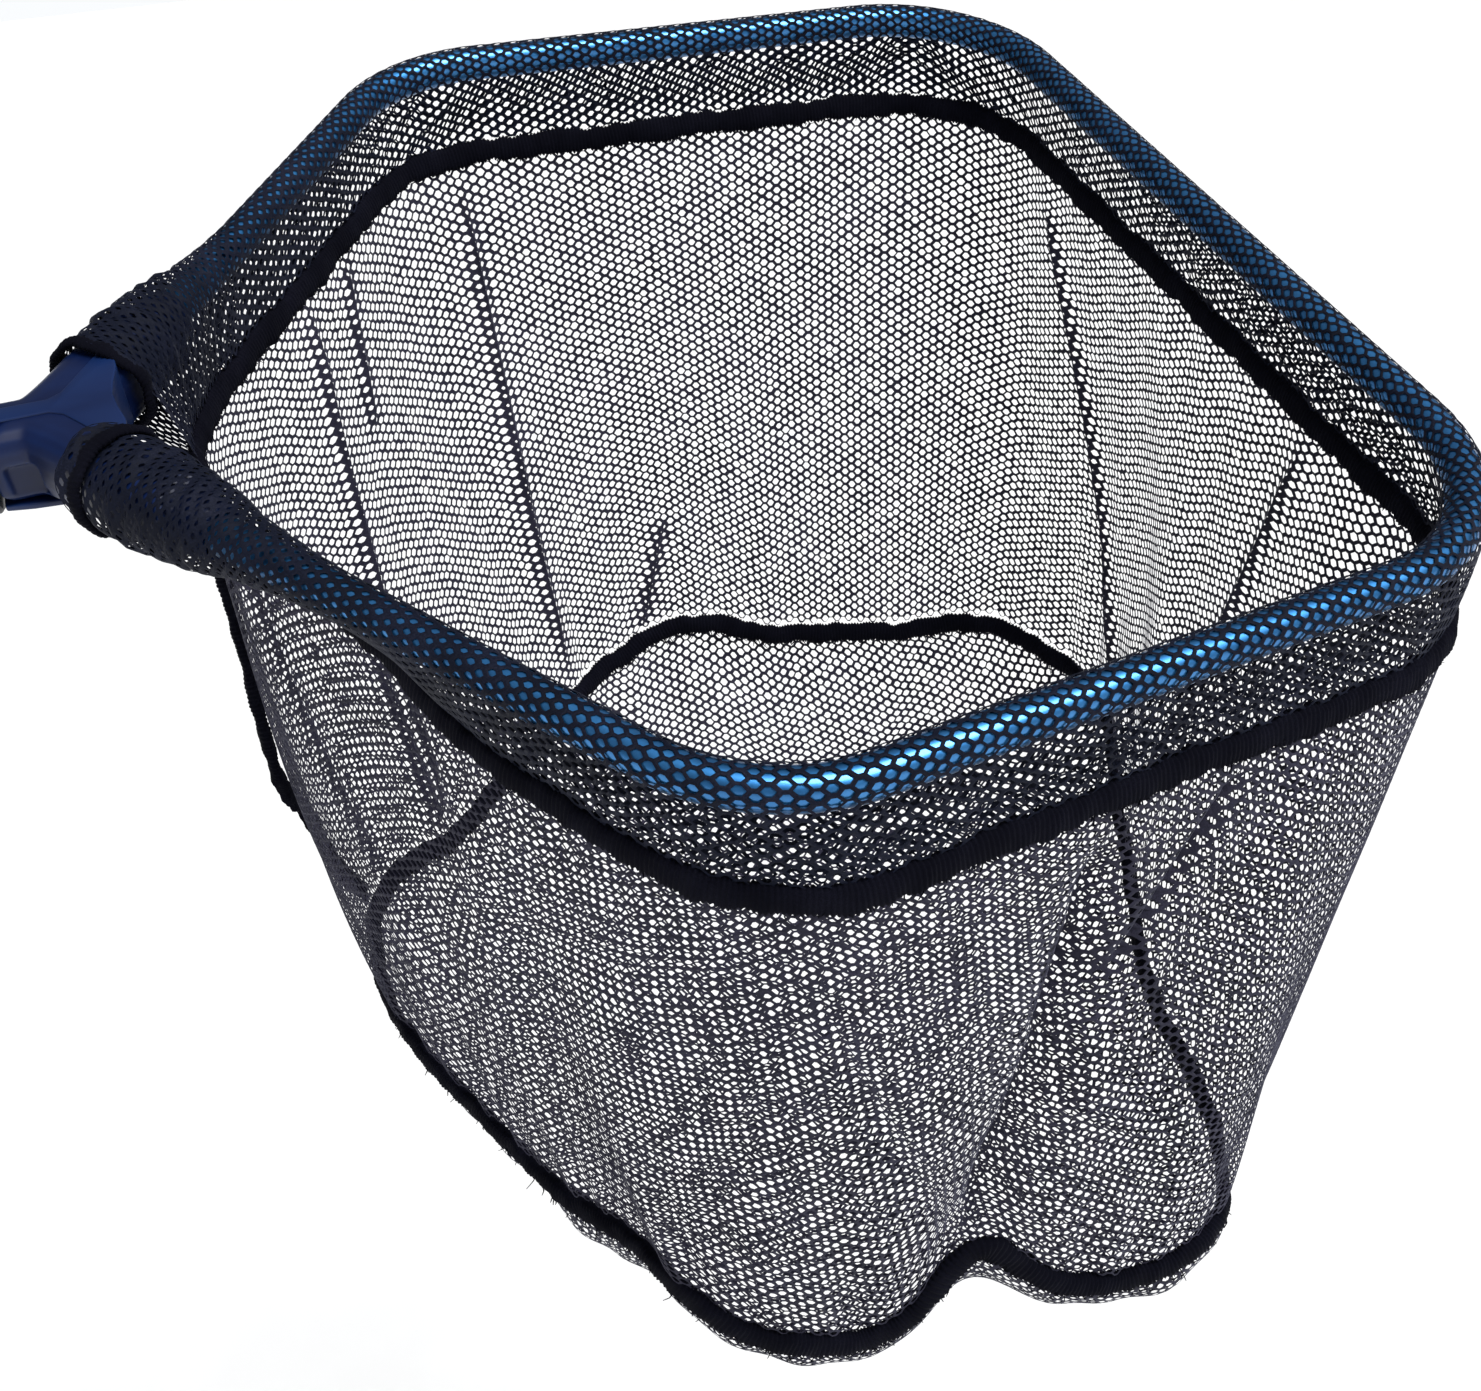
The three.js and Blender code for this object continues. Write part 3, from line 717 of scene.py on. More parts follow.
def seamPath(share):
    point, out = wallPoint(*seamShare(share))
    bulge = wallSeam["bulge"] * np.exp(-(((share - 0.55) / 0.2) ** 2))
    return point + out * (wallSeam["stand"] + bulge)[..., None]


def seamOut(share):
    return wallPoint(*seamShare(share))[1]


seamPiece = makeSeam("wall_overlock", seamPath, seamOut, bag["wallHeight"], wallSeam, ["wall_seam"], False)
print("seams made")


# Sleeve of netting folded over the hoop, its two layers running straight down to the hem.
sleeve = {
    "startAt": 37 * mm,
    "hug": [(0, 21), (37, 20.8), (50, 19.8), (74, 18.6), (92, 15.4), (108, 12.2), (128, 9.9), (148, 8.8)],
    "rows": 22,
    "cell": 4.5 * mm,
    "gap": 1.4 * mm,
    "hole": 0.69,
    "bunchedHole": 0.42,
    "armHole": 0.5,
    "armTo": (190 * mm, 300 * mm),
    "loose": 0.9 * mm,
    "bunched": 1.5,
    "bunchedTo": (84 * mm, 150 * mm),
    "crumple": 1.3 * mm,
    "lumpsTo": (96 * mm, 140 * mm),
    "lumps": 0.9 * mm,
    "hemDrop": 1.5 * mm,
    "seed": 52,
}
armStraight = hoop["yokeCornerRadius"] / math.tan(hoop["armAngle"])
armCurve = hoop["yokeCornerRadius"] * (math.pi / 2 - hoop["armAngle"])
hoopPath = roundedPlan([*planCorners, planCorners[0]], [0, *[cornerRadius] * 4, 0], False)
hoopPath, hoopLength = evenly(hoopPath, 4000, False)


def hoopAt(distance):
    along = np.linspace(0, hoopLength, len(hoopPath))

    def level(place):
        x, y = (np.interp(place, along, hoopPath[:, k]) for k in range(2))
        return np.stack([x, y, np.zeros_like(x)], -1)

    forward = level(np.minimum(distance + 1 * mm, hoopLength)) - level(np.maximum(distance - 1 * mm, 0))
    forward /= np.linalg.norm(forward, axis=-1, keepdims=True)
    return rolled(level(distance)), rolled(forward)


def fromYoke(distance):
    return np.minimum(distance, hoopLength - distance)


# The bag's loop cuts the corner by the yoke, so a place on the hoop maps to a shorter way round it.
def hemShare(distance):
    nearest = fromYoke(distance)
    onCurve, past = nearest * armCurve / armStraight, nearest - armStraight + armCurve
    short = np.where(nearest < armStraight, onCurve, past)
    return np.where(distance < hoopLength / 2, short, planLength - short) / planLength


# The sleeve's netting is bunched up where it is pushed onto the arms, with its holes drawn shut.
def bunching(distance):
    return 1 - smoothStep(*sleeve["bunchedTo"], fromYoke(distance))


sleeveRun = np.linspace(sleeve["startAt"], hoopLength - sleeve["startAt"], 4001)
sleeveCount = np.r_[0, np.cumsum(1 + sleeve["bunched"] * bunching(sleeveRun))[:-1]]
sleeveCount *= (sleeveRun[1] - sleeveRun[0]) / sleeve["cell"]
sleeve["columns"] = 2 * round(sleeveCount[-1] / 2)


def sleeveDistance(across):
    return np.interp(across / sleeve["columns"] * sleeveCount[-1], sleeveCount, sleeveRun)


def sleeveHole(across, down):
    distance = sleeveDistance(across)
    onTube = smoothStep(*sleeve["armTo"], fromYoke(distance))
    hole = sleeve["armHole"] + (sleeve["hole"] - sleeve["armHole"]) * onTube
    return hole + (sleeve["bunchedHole"] - hole) * bunching(distance)


def placeOnSleeve(across, down, lift):
    distance = sleeveDistance(across)
    centre, forward = hoopAt(distance)
    bottom = hemPoint(hemShare(distance), sleeve["hemDrop"])
    downward = bottom - centre
    depth = np.linalg.norm(downward, axis=-1)
    downward /= depth[..., None]
    side = np.cross(downward, forward)
    side /= np.linalg.norm(side, axis=-1, keepdims=True)
    known = np.array(sleeve["hug"]) * mm
    nearest = fromYoke(distance)
    radius = np.interp(nearest, known[:, 0], known[:, 1])
    onArm = 1 - smoothStep(*sleeve["lumpsTo"], nearest)
    radius = radius + onArm * sleeve["lumps"] * waves(distance, hoopLength, (0.03, 0.017, 0.011), 91)
    touch = np.arccos(np.clip(radius / depth, -1, 1))
    straight = np.sqrt(np.maximum(depth**2 - radius**2, 0))
    total = 2 * straight + radius * (2 * np.pi - 2 * touch)
    run = (down + 0.25) / (sleeve["rows"] + 0.5) * total
    mirror = np.where(run > total / 2, -1.0, 1.0)
    run = np.minimum(run, total - run)
    angle = touch + np.maximum(run - straight, 0) / radius
    ratio = np.clip(run / straight, 0, 1)
    reach = np.where(ratio < 1, ratio, 1.0)
    sideways = mirror * (radius * np.sin(angle) * reach + sleeve["gap"] / 2 * (1 - reach))
    below = np.where(ratio < 1, depth * (1 - ratio) + radius * np.cos(touch) * ratio, radius * np.cos(angle))
    normal = side * (mirror * np.sin(angle))[..., None] + downward * np.cos(angle)[..., None]
    flutter = waves(distance + mirror * 0.01, hoopLength, (0.07, 0.04, 0.023), 92)
    ripple = sleeve["loose"] * np.sin(np.pi * ratio) * flutter
    crumple = waves(distance + 0.006 * np.sin(angle), hoopLength, (0.0125, 0.0082, 0.0061), 93)
    crumple = sleeve["crumple"] * bunching(distance) * crumple
    ripple = ripple + crumple * np.where(ratio < 1, 0.4 + 0.6 * ratio, 1)
    point = centre + side * sideways[..., None] + downward * below[..., None]
    return point + normal * (lift + ripple)[..., None]


points, faces = nettingArrays(sleeve, False, placeOnSleeve, sleeveHole)
sleeveNetting = newPiece("sleeve_netting", points, faces, shadedSleevePaint, ["rim_sleeve"])
print("sleeve netting", len(faces))

# Bound edges of the sleeve, pushed up in rolls about the yoke's arms.
armRing = {
    "at": 38.5 * mm,
    "radius": 20.3 * mm,
    "thick": 3.6 * mm,
    "long": 6 * mm,
    "turns": 62,
    "deep": 0.1,
    "swell": 0.28,
    "wanderOut": 0.8 * mm,
    "wanderAlong": 1.8 * mm,
    "count": 220,
    "sides": 14,
}


def makeArmRing(side, sign, seed):
    count, sides = armRing["count"], armRing["sides"]
    turn = 2 * np.pi * np.arange(count) / count
    around = 2 * np.pi * np.arange(sides) / sides
    length = 2 * np.pi * armRing["radius"]
    wander = waves(turn / (2 * np.pi) * length, length, (0.06, 0.03, 0.016), seed)
    swell = 1 + armRing["swell"] * waves(turn / (2 * np.pi) * length, length, (0.035, 0.017, 0.009), seed + 1)
    thread = 1 + armRing["deep"] * np.cos(armRing["turns"] * turn[:, None] + around)
    wander, fat = wander[:, None], swell[:, None] * thread
    radial = armRing["radius"] + armRing["wanderOut"] * wander + armRing["thick"] / 2 * fat * np.cos(around)
    along = armRing["wanderAlong"] * wander + armRing["long"] / 2 * fat * np.sin(around)
    place, forward = hoopAt(np.array([armRing["at"] if sign < 0 else hoopLength - armRing["at"]]))
    forward, flat = forward[0] * -sign, np.cross(rolled((0, 0, 1)), forward[0])
    upward = np.cross(forward, flat)
    spoke = flat * np.cos(turn)[:, None] + upward * np.sin(turn)[:, None]
    points = place[0] + spoke[:, None] * radial[..., None] + forward * along[..., None]
    index = np.arange(count * sides).reshape(count, sides)
    ahead = np.roll(index, -1, 0)
    faces = np.stack([index, ahead, np.roll(ahead, -1, 1), np.roll(index, -1, 1)], -1).reshape(-1, 4)
    name, stands = f"sleeve_roll_{side}", [f"sleeve_edge_{side}"]
    piece = newPiece(name, points.reshape(-1, 3), faces, bindingPaint, stands)
    shape = bmesh.new()
    shape.from_mesh(piece.data)
    bmesh.ops.recalc_face_normals(shape, faces=shape.faces)
    shape.to_mesh(piece.data)
    shape.free()
    return piece


armRings = [makeArmRing("right", -1, 101), makeArmRing("left", 1, 111)]

# Base: a flat panel a little larger than its ring, so that it hangs in a slack, gathered dish.
base = {
    "bendDeg": 104,
    "bendLength": 30 * mm,
    "lobes": 0.27,
    "lobeLengths": (0.28, 0.17, 0.1),
    "pleatDeep": 3.2 * mm,
    "pleatLengths": (0.07, 0.045, 0.03),
    "cellAcross": 4.5 * mm,
    "cellDown": 4.9 * mm,
    "hole": 0.69,
    "edge": 0.5 * mm,
    "seam": 3 * mm,
    "bulge": 10 * mm,
    "slackRun": 0.42,
    "seed": 53,
}
middlePlan = np.array([bag["centreX"], 0.0])
bendRun = np.linspace(0, base["slackRun"], 2000)
bendAngle = math.radians(base["bendDeg"]) * np.exp(-bendRun / base["bendLength"])
bendStep = bendRun[1] - bendRun[0]
bendIn = np.r_[0, np.cumsum(1 - np.cos(bendAngle))[:-1]] * bendStep
bendDown = np.r_[0, np.cumsum(np.sin(bendAngle))[:-1]] * bendStep
spare = bendIn[-1]

ringShares = np.linspace(0, 1, 1441)[:-1]
ringLevel = (planAt(ringShares) - middlePlan) * bag["baseScale"]
ringAngles = np.unwrap(np.arctan2(ringLevel[:, 1], ringLevel[:, 0]))
ringRadii = np.linalg.norm(ringLevel, axis=1)


def ringAtAngle(angle):
    turned = np.mod(angle - ringAngles[0], 2 * np.pi) + ringAngles[0]
    known = np.r_[ringAngles, ringAngles[0] + 2 * np.pi]
    share = np.interp(turned, known, np.r_[ringShares, 1.0])
    return share, np.interp(turned, known, np.r_[ringRadii, ringRadii[0]])


def flatPlace(across, down):
    x = (across - base["columns"] / 2) * base["cellAcross"]
    y = (down - base["rows"] / 2) * base["cellDown"]
    return np.arctan2(y, x), np.hypot(x, y)


def baseKeep(across, down):
    angle, far = flatPlace(across, down)
    return far < ringAtAngle(angle)[1] + spare - base["edge"]


def baseHole(across, down):
    return base["hole"]


def placeOnBase(across, down, lift):
    angle, far = flatPlace(across, down)
    share, radius = ringAtAngle(angle)
    run = np.clip(radius + spare - far, 0, base["slackRun"])
    along = share * ringLength
    lobe = 1 + base["lobes"] * waves(along, ringLength, base["lobeLengths"], 95) * np.exp(-run / 0.09)
    pleat = base["pleatDeep"] * waves(along, ringLength, base["pleatLengths"], 96)
    pleat = pleat * np.exp(-run / 0.05) * smoothStep(0, 0.015, run)
    inward = np.interp(run, bendRun, bendIn)
    fall = np.interp(run, bendRun, bendDown) * lobe
    scaled = (radius - (run - inward)) / np.maximum(radius, 1e-6)
    ring = ringPoint(share)
    drop = bag["ringHeight"] - base["seam"]
    ring[..., 2] -= drop
    centre = rolled((bag["centreX"], 0, 0)) - (0, 0, bag["wallBottom"] + drop)
    point = centre + (ring - centre) * np.maximum(scaled, 0)[..., None]
    bulge = base["bulge"] * (lobe - 1) * np.exp(-(((run - 0.02) / 0.03) ** 2))
    point = point + ringOut(share) * (pleat + bulge)[..., None]
    point[..., 2] -= fall + lift
    return point


base["columns"] = 2 * math.ceil((ringRadii.max() + spare + 0.01) / base["cellAcross"])
base["rows"] = 2 * math.ceil((ringRadii.max() + spare + 0.01) / base["cellDown"])
points, faces = nettingArrays(base, False, placeOnBase, baseHole, baseKeep)
baseNetting = newPiece("base_netting", points, faces, nettingPaint, ["base_panel"])
print("base netting", len(faces))


# Tube of the hoop, drawn and bent, with its bore.
def makeTube():
    stations = np.arange(hoop["tubeStart"], hoopLength - hoop["tubeStart"] + 1e-6, hoop["tubeStep"])
    centre, forward = hoopAt(stations)
    side = np.cross(forward, rolled((0, 0, 1)))
    side /= np.linalg.norm(side, axis=1, keepdims=True)
    up = np.cross(side, forward)
    sides = 32
    angle = 2 * np.pi * np.arange(sides) / sides
    skins = []
    for radius in (hoop["tubeRadius"], hoop["tubeRadius"] - hoop["tubeWall"]):
        ring = side[:, None] * np.cos(angle)[None, :, None] + up[:, None] * np.sin(angle)[None, :, None]
        skins.append((centre[:, None] + radius * ring).reshape(-1, 3))
    count = len(stations)
    outer = np.arange(count * sides).reshape(count, sides)
    inner = outer + count * sides
    near, far = outer[:-1], outer[1:]
    faces = [np.stack([near, far, np.roll(far, -1, 1), np.roll(near, -1, 1)], -1)]
    near, far = inner[:-1], inner[1:]
    faces.append(np.stack([near, np.roll(near, -1, 1), np.roll(far, -1, 1), far], -1))
    faces.append(np.stack([outer[0], np.roll(outer[0], -1), np.roll(inner[0], -1), inner[0]], -1)[None])
    faces.append(np.stack([outer[-1], inner[-1], np.roll(inner[-1], -1), np.roll(outer[-1], -1)], -1)[None])
    faces = np.concatenate([block.reshape(-1, 4) for block in faces])
    return newPiece("tube", np.vstack(skins), faces, anodisedPaint, ["hoop_tube"])


makeTube()
print("tube made")


# Hard pieces. Each starts as a mesh in the hoop's level plane and is rolled into place at the end.
bothSides = (("left", 1), ("right", -1))


def inMm(profile):
    return [(x * mm, radius * mm) for x, radius in profile]


def meshObject(name, mesh):
    piece = bpy.data.objects.new(name, mesh)
    scene.collection.objects.link(piece)
    return piece


def turnedMesh(name, profile, sides=64, closed=False):
    shape = bmesh.new()
    rings = []
    for x, radius in profile:
        if radius < 1e-7:
            rings.append([shape.verts.new((x, 0, 0))])
            continue
        turn = [2 * math.pi * k / sides for k in range(sides)]
        rings.append([shape.verts.new((x, radius * math.cos(a), radius * math.sin(a))) for a in turn])
    pairs = list(zip(rings, rings[1:] + rings[:1])) if closed else list(zip(rings, rings[1:]))
    for here, there in pairs:
        for k in range(sides):
            j = (k + 1) % sides
            corners = [here[k % len(here)], here[j % len(here)], there[j % len(there)], there[k % len(there)]]
            unique = list(dict.fromkeys(corners))
            if len(unique) > 2:
                shape.faces.new(unique)
    bmesh.ops.recalc_face_normals(shape, faces=shape.faces)
    mesh = bpy.data.meshes.new(name)
    shape.to_mesh(mesh)
    shape.free()
    return mesh


# Rounds every corner of a profile that has room for it.
def softened(profile, radius, steps=3):
    soft = [profile[0]]
    for before, corner, after in zip(profile, profile[1:], profile[2:]):
        b, c, a = (Vector((*p, 0)) for p in (before, corner, after))
        toBefore, toAfter = b - c, a - c
        reach = min(radius, toBefore.length * 0.45, toAfter.length * 0.45)
        start, end = c + toBefore.normalized() * reach, c + toAfter.normalized() * reach
        for k in range(steps + 1):
            t = k / steps
            point = start * (1 - t) ** 2 + c * (2 * t * (1 - t)) + end * t * t
            soft.append((point.x, point.y))
    return soft + [profile[-1]]


def boxMesh(name, low, high):
    shape = bmesh.new()
    bmesh.ops.create_cube(shape, size=1)
    for vert in shape.verts:
        vert.co = [low[k] + (vert.co[k] + 0.5) * (high[k] - low[k]) for k in range(3)]
    mesh = bpy.data.meshes.new(name)
    shape.to_mesh(mesh)
    shape.free()
    return mesh


def plateMesh(name, outline, low, high):
    shape = bmesh.new()
    bottom = [shape.verts.new((x, y, low)) for x, y in outline]
    face = shape.faces.new(bottom)
    made = bmesh.ops.extrude_face_region(shape, geom=[face])
    for item in made["geom"]:
        if isinstance(item, bmesh.types.BMVert):
            item.co.z = high
    bmesh.ops.recalc_face_normals(shape, faces=shape.faces)
    mesh = bpy.data.meshes.new(name)
    shape.to_mesh(mesh)
    shape.free()
    return mesh


def combine(piece, meshes, how="DIFFERENCE"):
    for mesh in meshes:
        tool = meshObject("tool", mesh)
        step = piece.modifiers.new("combine", "BOOLEAN")
        step.operation, step.solver, step.object = how, "EXACT", tool
        applyAll(piece)
        bpy.data.objects.remove(tool)


def applyAll(piece):
    bpy.context.view_layer.update()
    made = bpy.data.meshes.new_from_object(piece.evaluated_get(bpy.context.evaluated_depsgraph_get()))
    piece.modifiers.clear()
    piece.data = made


def finishHard(piece, paint, stands, body="net_head", edge=0, smoothDeg=35):
    if edge:
        step = piece.modifiers.new("edges", "BEVEL")
        step.width, step.segments = edge, 2
        step.limit_method, step.angle_limit = "ANGLE", math.radians(40)
        applyAll(piece)
    piece.data.transform(rollTurn.to_4x4())
    piece.data.materials.clear()
    piece.data.materials.append(paint)
    piece.data.polygons.foreach_set("use_smooth", np.ones(len(piece.data.polygons), bool))
    piece.data.set_sharp_from_angle(angle=math.radians(smoothDeg))
    piece.data.update()
    return joinScene(piece, body, stands)


# Turn that takes the X axis to a direction.
def turnTo(direction):
    return Vector((1, 0, 0)).rotation_difference(Vector(direction)).to_matrix().to_4x4()


def barMesh(name, start, end, radius, sides=40):
    along = Vector(end) - Vector(start)
    mesh = turnedMesh(name, [(0, 0), (0, radius), (along.length, radius), (along.length, 0)], sides)
    mesh.transform(Matrix.Translation(start) @ turnTo(along))
    return mesh


# Place on the middle line of an arm, at a height.
def armPoint(distance, sign, height=0):
    angle = hoop["armAngle"]
    return vertexX + distance * math.cos(angle), sign * distance * math.sin(angle), height


# Yoke: the frame's own shape with its corners rounded, then a crisp flat deck, ribs and a foot flange.
# The outlines of deck and flange are half plans in millimetres from the yoke's vertex.
yoke = {
    "voxel": 0.9 * mm,
    "smoothing": 7,
    "deck": [
        (-22, 4.2), (4, 4.2), (9, 7), (13, 12.5), (21, 24),
        (26, 31), (30.5, 25), (30.5, 17), (28.5, 8), (27.5, 0),
    ],
    "deckZ": (-9 * mm, 17.3 * mm),
    "flange": [(-22, 13.5), (-12, 15.5), (4, 17.2), (16, 25), (22, 31), (30, 27), (22, 8), (20, 0)],
    "flangeZ": (-17.3 * mm, -14.6 * mm),
    "ribX": (6.2 * mm, 8.8 * mm),
    "ribY": (11 * mm, 17.2 * mm),
    "ribZ": (-13 * mm, 9 * mm),
    "corner": 0.7 * mm,
    "flangeCorner": 0.8 * mm,
    "neckFrom": 100 * mm,
    "neckTo": 12.4 * mm,
    "neckBore": 11.3 * mm,
    "armFrom": 47.6 * mm,
    "armTo": 112 * mm,
    "armBore": 8.3 * mm,
    "seatRadius": 4 * mm,
    "seatZ": (-14.4 * mm, -22 * mm),
}
stemScrewX = vertexX - 6 * mm
armScrewAt = hoop["tubeStart"] + 24 * mm


def mirrored(half):
    outline = [(vertexX + x * mm, y * mm) for x, y in half]
    return outline + [(x, -y) for x, y in reversed(outline) if y]


def bevelled(mesh, width, segments=3):
    piece = meshObject("rounded", mesh)
    step = piece.modifiers.new("edges", "BEVEL")
    step.width, step.segments, step.limit_method = width, segments, "ANGLE"
    applyAll(piece)
    made = piece.data.copy()
    bpy.data.objects.remove(piece)
    return made


def makeYoke():
    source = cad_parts["yoke_body"]
    mesh = source.data.copy()
    mesh.transform(rollTurn.inverted().to_4x4() @ source.matrix_world)
    piece = meshObject("yoke", mesh)
    step = piece.modifiers.new("even", "REMESH")
    step.mode, step.voxel_size = "VOXEL", yoke["voxel"]
    step = piece.modifiers.new("rounded", "SMOOTH")
    step.factor, step.iterations = 0.5, yoke["smoothing"]
    applyAll(piece)
    deck = bevelled(plateMesh("deck", mirrored(yoke["deck"]), *yoke["deckZ"]), yoke["corner"])
    flange = bevelled(plateMesh("flange", mirrored(yoke["flange"]), *yoke["flangeZ"]), yoke["flangeCorner"])
    ribs = []
    for sign in (-1, 1):
        inner, outer = sorted(sign * y for y in yoke["ribY"])
        low = (vertexX + yoke["ribX"][0], inner, yoke["ribZ"][0])
        high = (vertexX + yoke["ribX"][1], outer, yoke["ribZ"][1])
        ribs.append(bevelled(boxMesh("rib", low, high), yoke["corner"]))
    combine(piece, [deck, flange, *ribs], "UNION")
    cuts = [barMesh("neck", (yoke["neckFrom"], 0, 0), (vertexX + yoke["neckTo"], 0, 0), yoke["neckBore"])]
    for sign in (-1, 1):
        ends = armPoint(yoke["armFrom"], sign), armPoint(yoke["armTo"], sign)
        cuts.append(barMesh("bore", *ends, yoke["armBore"]))
    cuts.append(barMesh("seat", *[(stemScrewX, 0, z) for z in yoke["seatZ"]], yoke["seatRadius"]))
    combine(piece, cuts)
    return finishHard(piece, navyPaint, ["yoke_body"], smoothDeg=32)


makeYoke()
print("yoke made")

# Screws with cross recesses, driven upward. Profiles are in millimetres along the screw.
recess = {"long": 1.8 * mm, "wide": 0.45 * mm, "deep": 1.1 * mm, "over": 1 * mm, "corner": 0.5 * mm}
stemScrewProfile = [(0, 0), (0, 1.5), (5.5, 1.5), (5.5, 3.5), (7, 3.5), (7.8, 2.4), (7.8, 0)]
armScrewProfile = [(-17, 0), (-15, 1.8), (-2.4, 1.8), (-2.4, 3.7), (-0.8, 3.7), (0, 2.6), (0, 0)]


def makeScrew(name, profile, place, stands):
    piece = meshObject(name, turnedMesh(name, softened(inMm(profile), recess["corner"]), 40))
    top = profile[-1][0] * mm
    for y, z in ((recess["long"], recess["wide"]), (recess["wide"], recess["long"])):
        combine(piece, [boxMesh("recess", (top - recess["deep"], -y, -z), (top + recess["over"], y, z))])
    piece.data.transform(Matrix.Translation(place) @ turnTo((0, 0, -1)))
    return finishHard(piece, steelPaint, stands)


makeScrew("stem_screw_cross", stemScrewProfile, (stemScrewX, 0, -9 * mm), ["stem_screw"])
for side, sign in bothSides:
    place = armPoint(armScrewAt, sign, -15 * mm)
    makeScrew(f"arm_screw_head_{side}", armScrewProfile, place, [f"arm_screw_{side}"])

# Plugs in the tube's ends: ribbed so that they grip the bore.
tubePlug = {"ribs": 8, "pitch": 4.6, "hole": 2.2 * mm}


def makeTubePlug(side, sign):
    profile = [(1, 0), (1, 5.2)]
    for k in range(tubePlug["ribs"]):
        start = 1 + tubePlug["pitch"] * k
        profile += [(start + 1.2, 6.1), (start + 3.2, 6.1), (start + 3.6, 5.5), (start + 4.8, 5.5)]
    profile += [(39.4, 5.5), (40, 4.8), (40, 0)]
    mesh = turnedMesh("plug", inMm(profile), 36)
    turn = Matrix.Rotation(sign * hoop["armAngle"], 4, "Z")
    mesh.transform(Matrix.Translation(armPoint(hoop["tubeStart"], sign)) @ turn)
    piece = meshObject(f"tube_plug_{side}", mesh)
    ends = armPoint(armScrewAt, sign, -20 * mm), armPoint(armScrewAt, sign, 3 * mm)
    combine(piece, [barMesh("hole", *ends, tubePlug["hole"])])
    finishHard(piece, darkPaint, [f"tube_end_plug_{side}"])


for side, sign in bothSides:
    makeTubePlug(side, sign)

# Spigot, with its windows, pin hole, grip grooves and screw hole. Millimetres, along the pole's axis.
spigot = {
    "start": 3.3,
    "length": 110,
    "radius": 14.2,
    "bore": 10,
    "neck": 11,
    "neckBore": 7,
    "neckEnd": 149.7,
    "grooves": (16, 22, 28, 72, 78),
    "grooveDeep": 0.6,
    "buttonX": 50,
    "windowRadius": 5.2,
    "pinX": 94,
    "pinRadius": 1.8,
    "screwRadius": 1.9,
    "edge": 0.25,
}
collarProfile = [
    (110.3, 11.3), (110.3, 14.5), (108.8, 14.5), (108.8, 20.5),
    (110.3, 22), (113.9, 22), (115.4, 20.5), (115.4, 11.3),
]
endPlugProfile = [(0, 0), (0, 13.2), (1, 14.2), (3, 14.2), (3, 9.7), (14, 9.7), (14, 0)]


def makeSpigot():
    outer, neck, length, neckEnd = (spigot[key] for key in ("radius", "neck", "length", "neckEnd"))
    deep = spigot["grooveDeep"]
    start = spigot["start"]
    profile = [(start, spigot["bore"]), (start, outer - 0.8), (start + 0.8, outer)]
    for x in spigot["grooves"]:
        profile += [(x, outer), (x + 0.4, outer - deep), (x + 2.6, outer - deep), (x + 3, outer)]
    profile += [(length - 0.6, outer), (length, outer - 0.6), (length, neck)]
    profile += [(neckEnd - 0.8, neck), (neckEnd, neck - 0.8), (neckEnd, spigot["neckBore"])]
    profile += [(length - 4, spigot["neckBore"]), (length - 4, spigot["bore"])]
    piece = meshObject("spigot", turnedMesh("spigot", inMm(profile), 96, True))
    x, window = spigot["buttonX"] * mm, spigot["windowRadius"] * mm
    cuts = [barMesh("window", (x, sign * 6 * mm, 0), (x, sign * 20 * mm, 0), window) for sign in (-1, 1)]
    x = spigot["pinX"] * mm
    cuts.append(barMesh("pin", (x, 0, -20 * mm), (x, 0, 20 * mm), spigot["pinRadius"] * mm))
    cuts.append(barMesh("screw", (stemScrewX, 0, -20 * mm), (stemScrewX, 0, 0), spigot["screwRadius"] * mm))
    combine(piece, cuts)
    return finishHard(piece, darkPaint, ["pole_spigot"], edge=spigot["edge"] * mm)


makeSpigot()
piece = meshObject("collar", turnedMesh("collar", inMm(collarProfile), 96, True))
finishHard(piece, darkPaint, ["shoulder_collar"], edge=spigot["edge"] * mm)
piece = meshObject("spigot_plug", turnedMesh("plug", softened(inMm(endPlugProfile), 0.5 * mm), 72))
for y, z in ((6.5 * mm, 0.7 * mm), (0.7 * mm, 6.5 * mm)):
    combine(piece, [boxMesh("slot", (-1 * mm, -y, -z), (1.2 * mm, y, z))])
finishHard(piece, darkPaint, ["spigot_end_plug"])
print("spigot made")

# Sprung buttons: two leaves about a cross pin. Each leaf leans from its root by the pin out to its tip.
clip = {
    "thick": 0.9,
    "width": 9,
    "rootX": 97,
    "root": 2.25,
    "tipX": 43,
    "tip": 8,
    "buttonRadius": 3.5,
    "reach": 18.2,
}
pinProfile = [(-13, 0), (-13, 1.1), (-12.6, 1.5), (12.6, 1.5), (13, 1.1), (13, 0)]


def makeLeaf(side, sign):
    length, rise = clip["rootX"] - clip["tipX"], clip["tip"] - clip["root"]
    long, wide, half = length / 2, clip["width"] / 2, clip["thick"] / 2 * mm
    corners = [(-long, -wide), (long, -wide), (long, wide), (-long, wide)]
    outline = roundedPlan(corners, [4.2, 1.2, 1.2, 4.2], True, 6) * mm
    mesh = bevelled(plateMesh("leaf", [tuple(point) for point in outline], -half, half), 0.2 * mm, 2)
    turn = Matrix.Rotation(-sign * math.atan2(rise, length), 4, "Z") @ Matrix.Rotation(math.pi / 2, 4, "X")
    middle = ((clip["rootX"] + clip["tipX"]) / 2 * mm, sign * (clip["tip"] + clip["root"]) / 2 * mm, 0)
    mesh.transform(Matrix.Translation(middle) @ turn)
    piece = meshObject(f"spring_leaf_{side}", mesh)
    finishHard(piece, steelPaint, [f"clip_leaf_{side}"], f"{side}_clip")


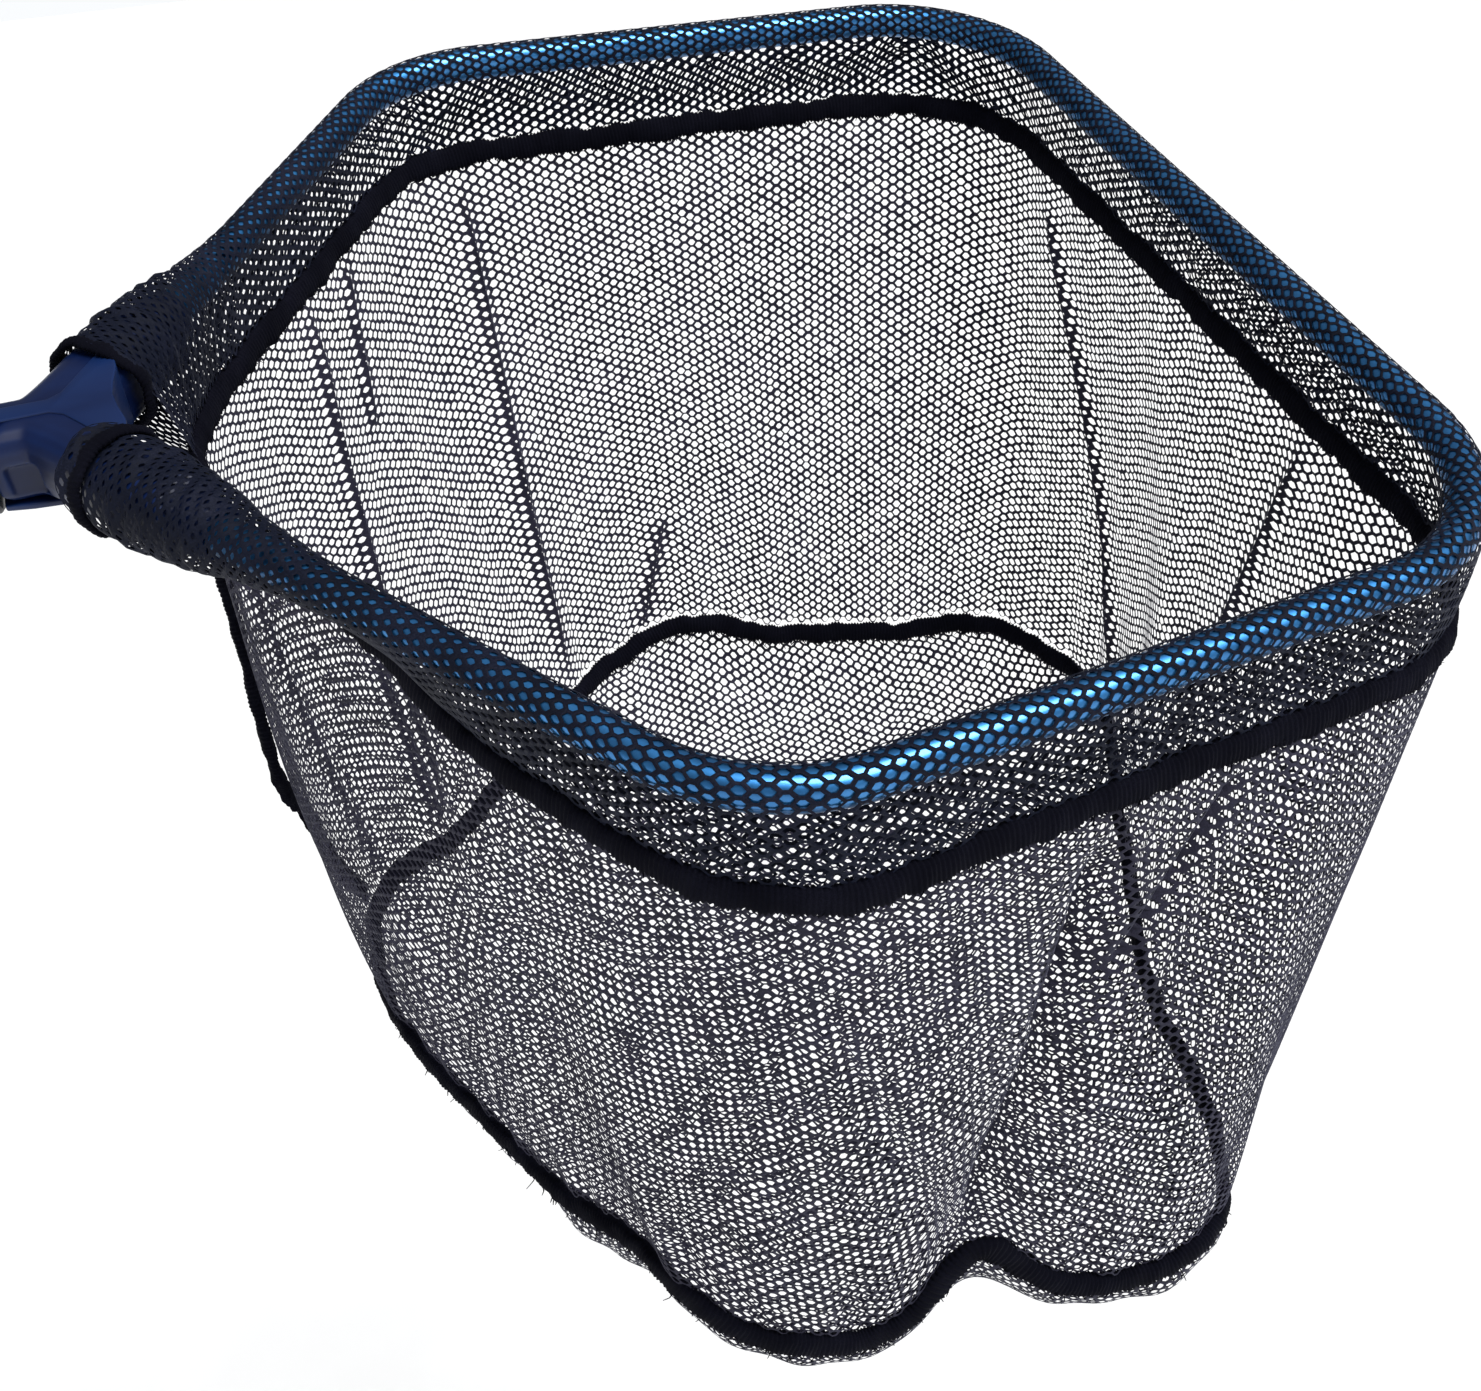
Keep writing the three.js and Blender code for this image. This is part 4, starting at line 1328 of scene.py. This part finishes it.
def makeButton(side, sign):
    slope = (clip["tip"] - clip["root"]) / (clip["rootX"] - clip["tipX"])
    top, radius = clip["reach"], clip["buttonRadius"]
    onLeaf = clip["tip"] - slope * (spigot["buttonX"] - clip["tipX"]) + clip["thick"] / 2
    foot = onLeaf + slope * radius + 0.3
    profile = [(foot, 0), (foot, radius), (top - 1.8, radius), (top - 0.5, radius - 1)]
    profile += [(top, radius - 2.4), (top, 0)]
    mesh = turnedMesh("button", softened(inMm(profile), 0.9 * mm, 5), 48)
    turn = Matrix.Rotation(sign * math.pi / 2, 4, "Z")
    mesh.transform(Matrix.Translation((spigot["buttonX"] * mm, 0, 0)) @ turn)
    piece = meshObject(f"button_{side}", mesh)
    finishHard(piece, steelPaint, [f"snap_button_{side}"], f"{side}_clip")


for side, sign in bothSides:
    makeLeaf(side, sign)
    makeButton(side, sign)
mesh = turnedMesh("pin", inMm(pinProfile), 36)
mesh.transform(Matrix.Translation((spigot["pinX"] * mm, 0, 0)) @ Matrix.Rotation(-math.pi / 2, 4, "Y"))
finishHard(meshObject("cross_pin", mesh), steelPaint, ["clip_pin"])
print("clip made")

# Sheets of netting: the area of one cell of each.
sleeveAround = 124 * mm
wall["cellSize"] = planLength * bag["wallHeight"] / wall["columns"] / wall["rows"]
sleeve["cellSize"] = sleeve["cell"] * sleeveAround / sleeve["rows"]
base["cellSize"] = base["cellAcross"] * base["cellDown"]


# Floor, light and world. The sky is white at the floor's edge and dimmer overhead.
stage = {
    "floorRadius": 80,
    "floorAt": (0.35, 0, -2.2),
    "skyColour": (0.96, 0.98, 1.0, 1),
    "sky": {"From Min": 0.03, "From Max": 0.22, "To Min": 1.0, "To Max": 0.2},
    "lightFrom": (0.3, -0.42, 0.86),
    "lightStrength": 3.6,
    "lightSpreadDeg": 34,
}


def makeFloor():
    bpy.ops.mesh.primitive_circle_add(
        vertices=96, radius=stage["floorRadius"], fill_type="NGON", location=stage["floorAt"],
    )
    floor = bpy.context.object
    floor.name = "floor"
    paint, tree, shader = startPaint("paleFloor")
    cloud = addNoise(tree, objectPlace(tree), 3.0, 3.0)
    colour = addRamp(tree, cloud, [(0.3, (0.90, 0.90, 0.90)), (0.7, (0.93, 0.93, 0.93))])
    tree.links.new(colour, shader.inputs["Base Color"])
    shader.inputs["Roughness"].default_value = 0.9
    floor.data.materials.append(paint)


def makeSky():
    world = bpy.data.worlds.new("studio")
    scene.world = world
    world.use_nodes = True
    tree = world.node_tree
    background = tree.nodes["Background"]
    background.inputs["Color"].default_value = stage["skyColour"]
    upward = addNode(tree, "TexCoord").outputs["Generated"]
    height = addNode(tree, "SeparateXYZ", {"Vector": upward}).outputs["Z"]
    fade = addNode(tree, "MapRange", {"Value": height}, interpolation_type="SMOOTHSTEP")
    for key, value in stage["sky"].items():
        fade.inputs[key].default_value = value
    tree.links.new(fade.outputs["Result"], background.inputs["Strength"])


def makeKeyLight():
    data = bpy.data.lights.new("keyLight", "SUN")
    data.energy, data.angle = stage["lightStrength"], math.radians(stage["lightSpreadDeg"])
    lamp = bpy.data.objects.new("keyLight", data)
    lamp.rotation_mode = "QUATERNION"
    lamp.rotation_quaternion = (-Vector(stage["lightFrom"])).to_track_quat("-Z", "Y")
    scene.collection.objects.link(lamp)


makeFloor()
makeSky()
makeKeyLight()
scene.view_settings.view_transform = "Standard"
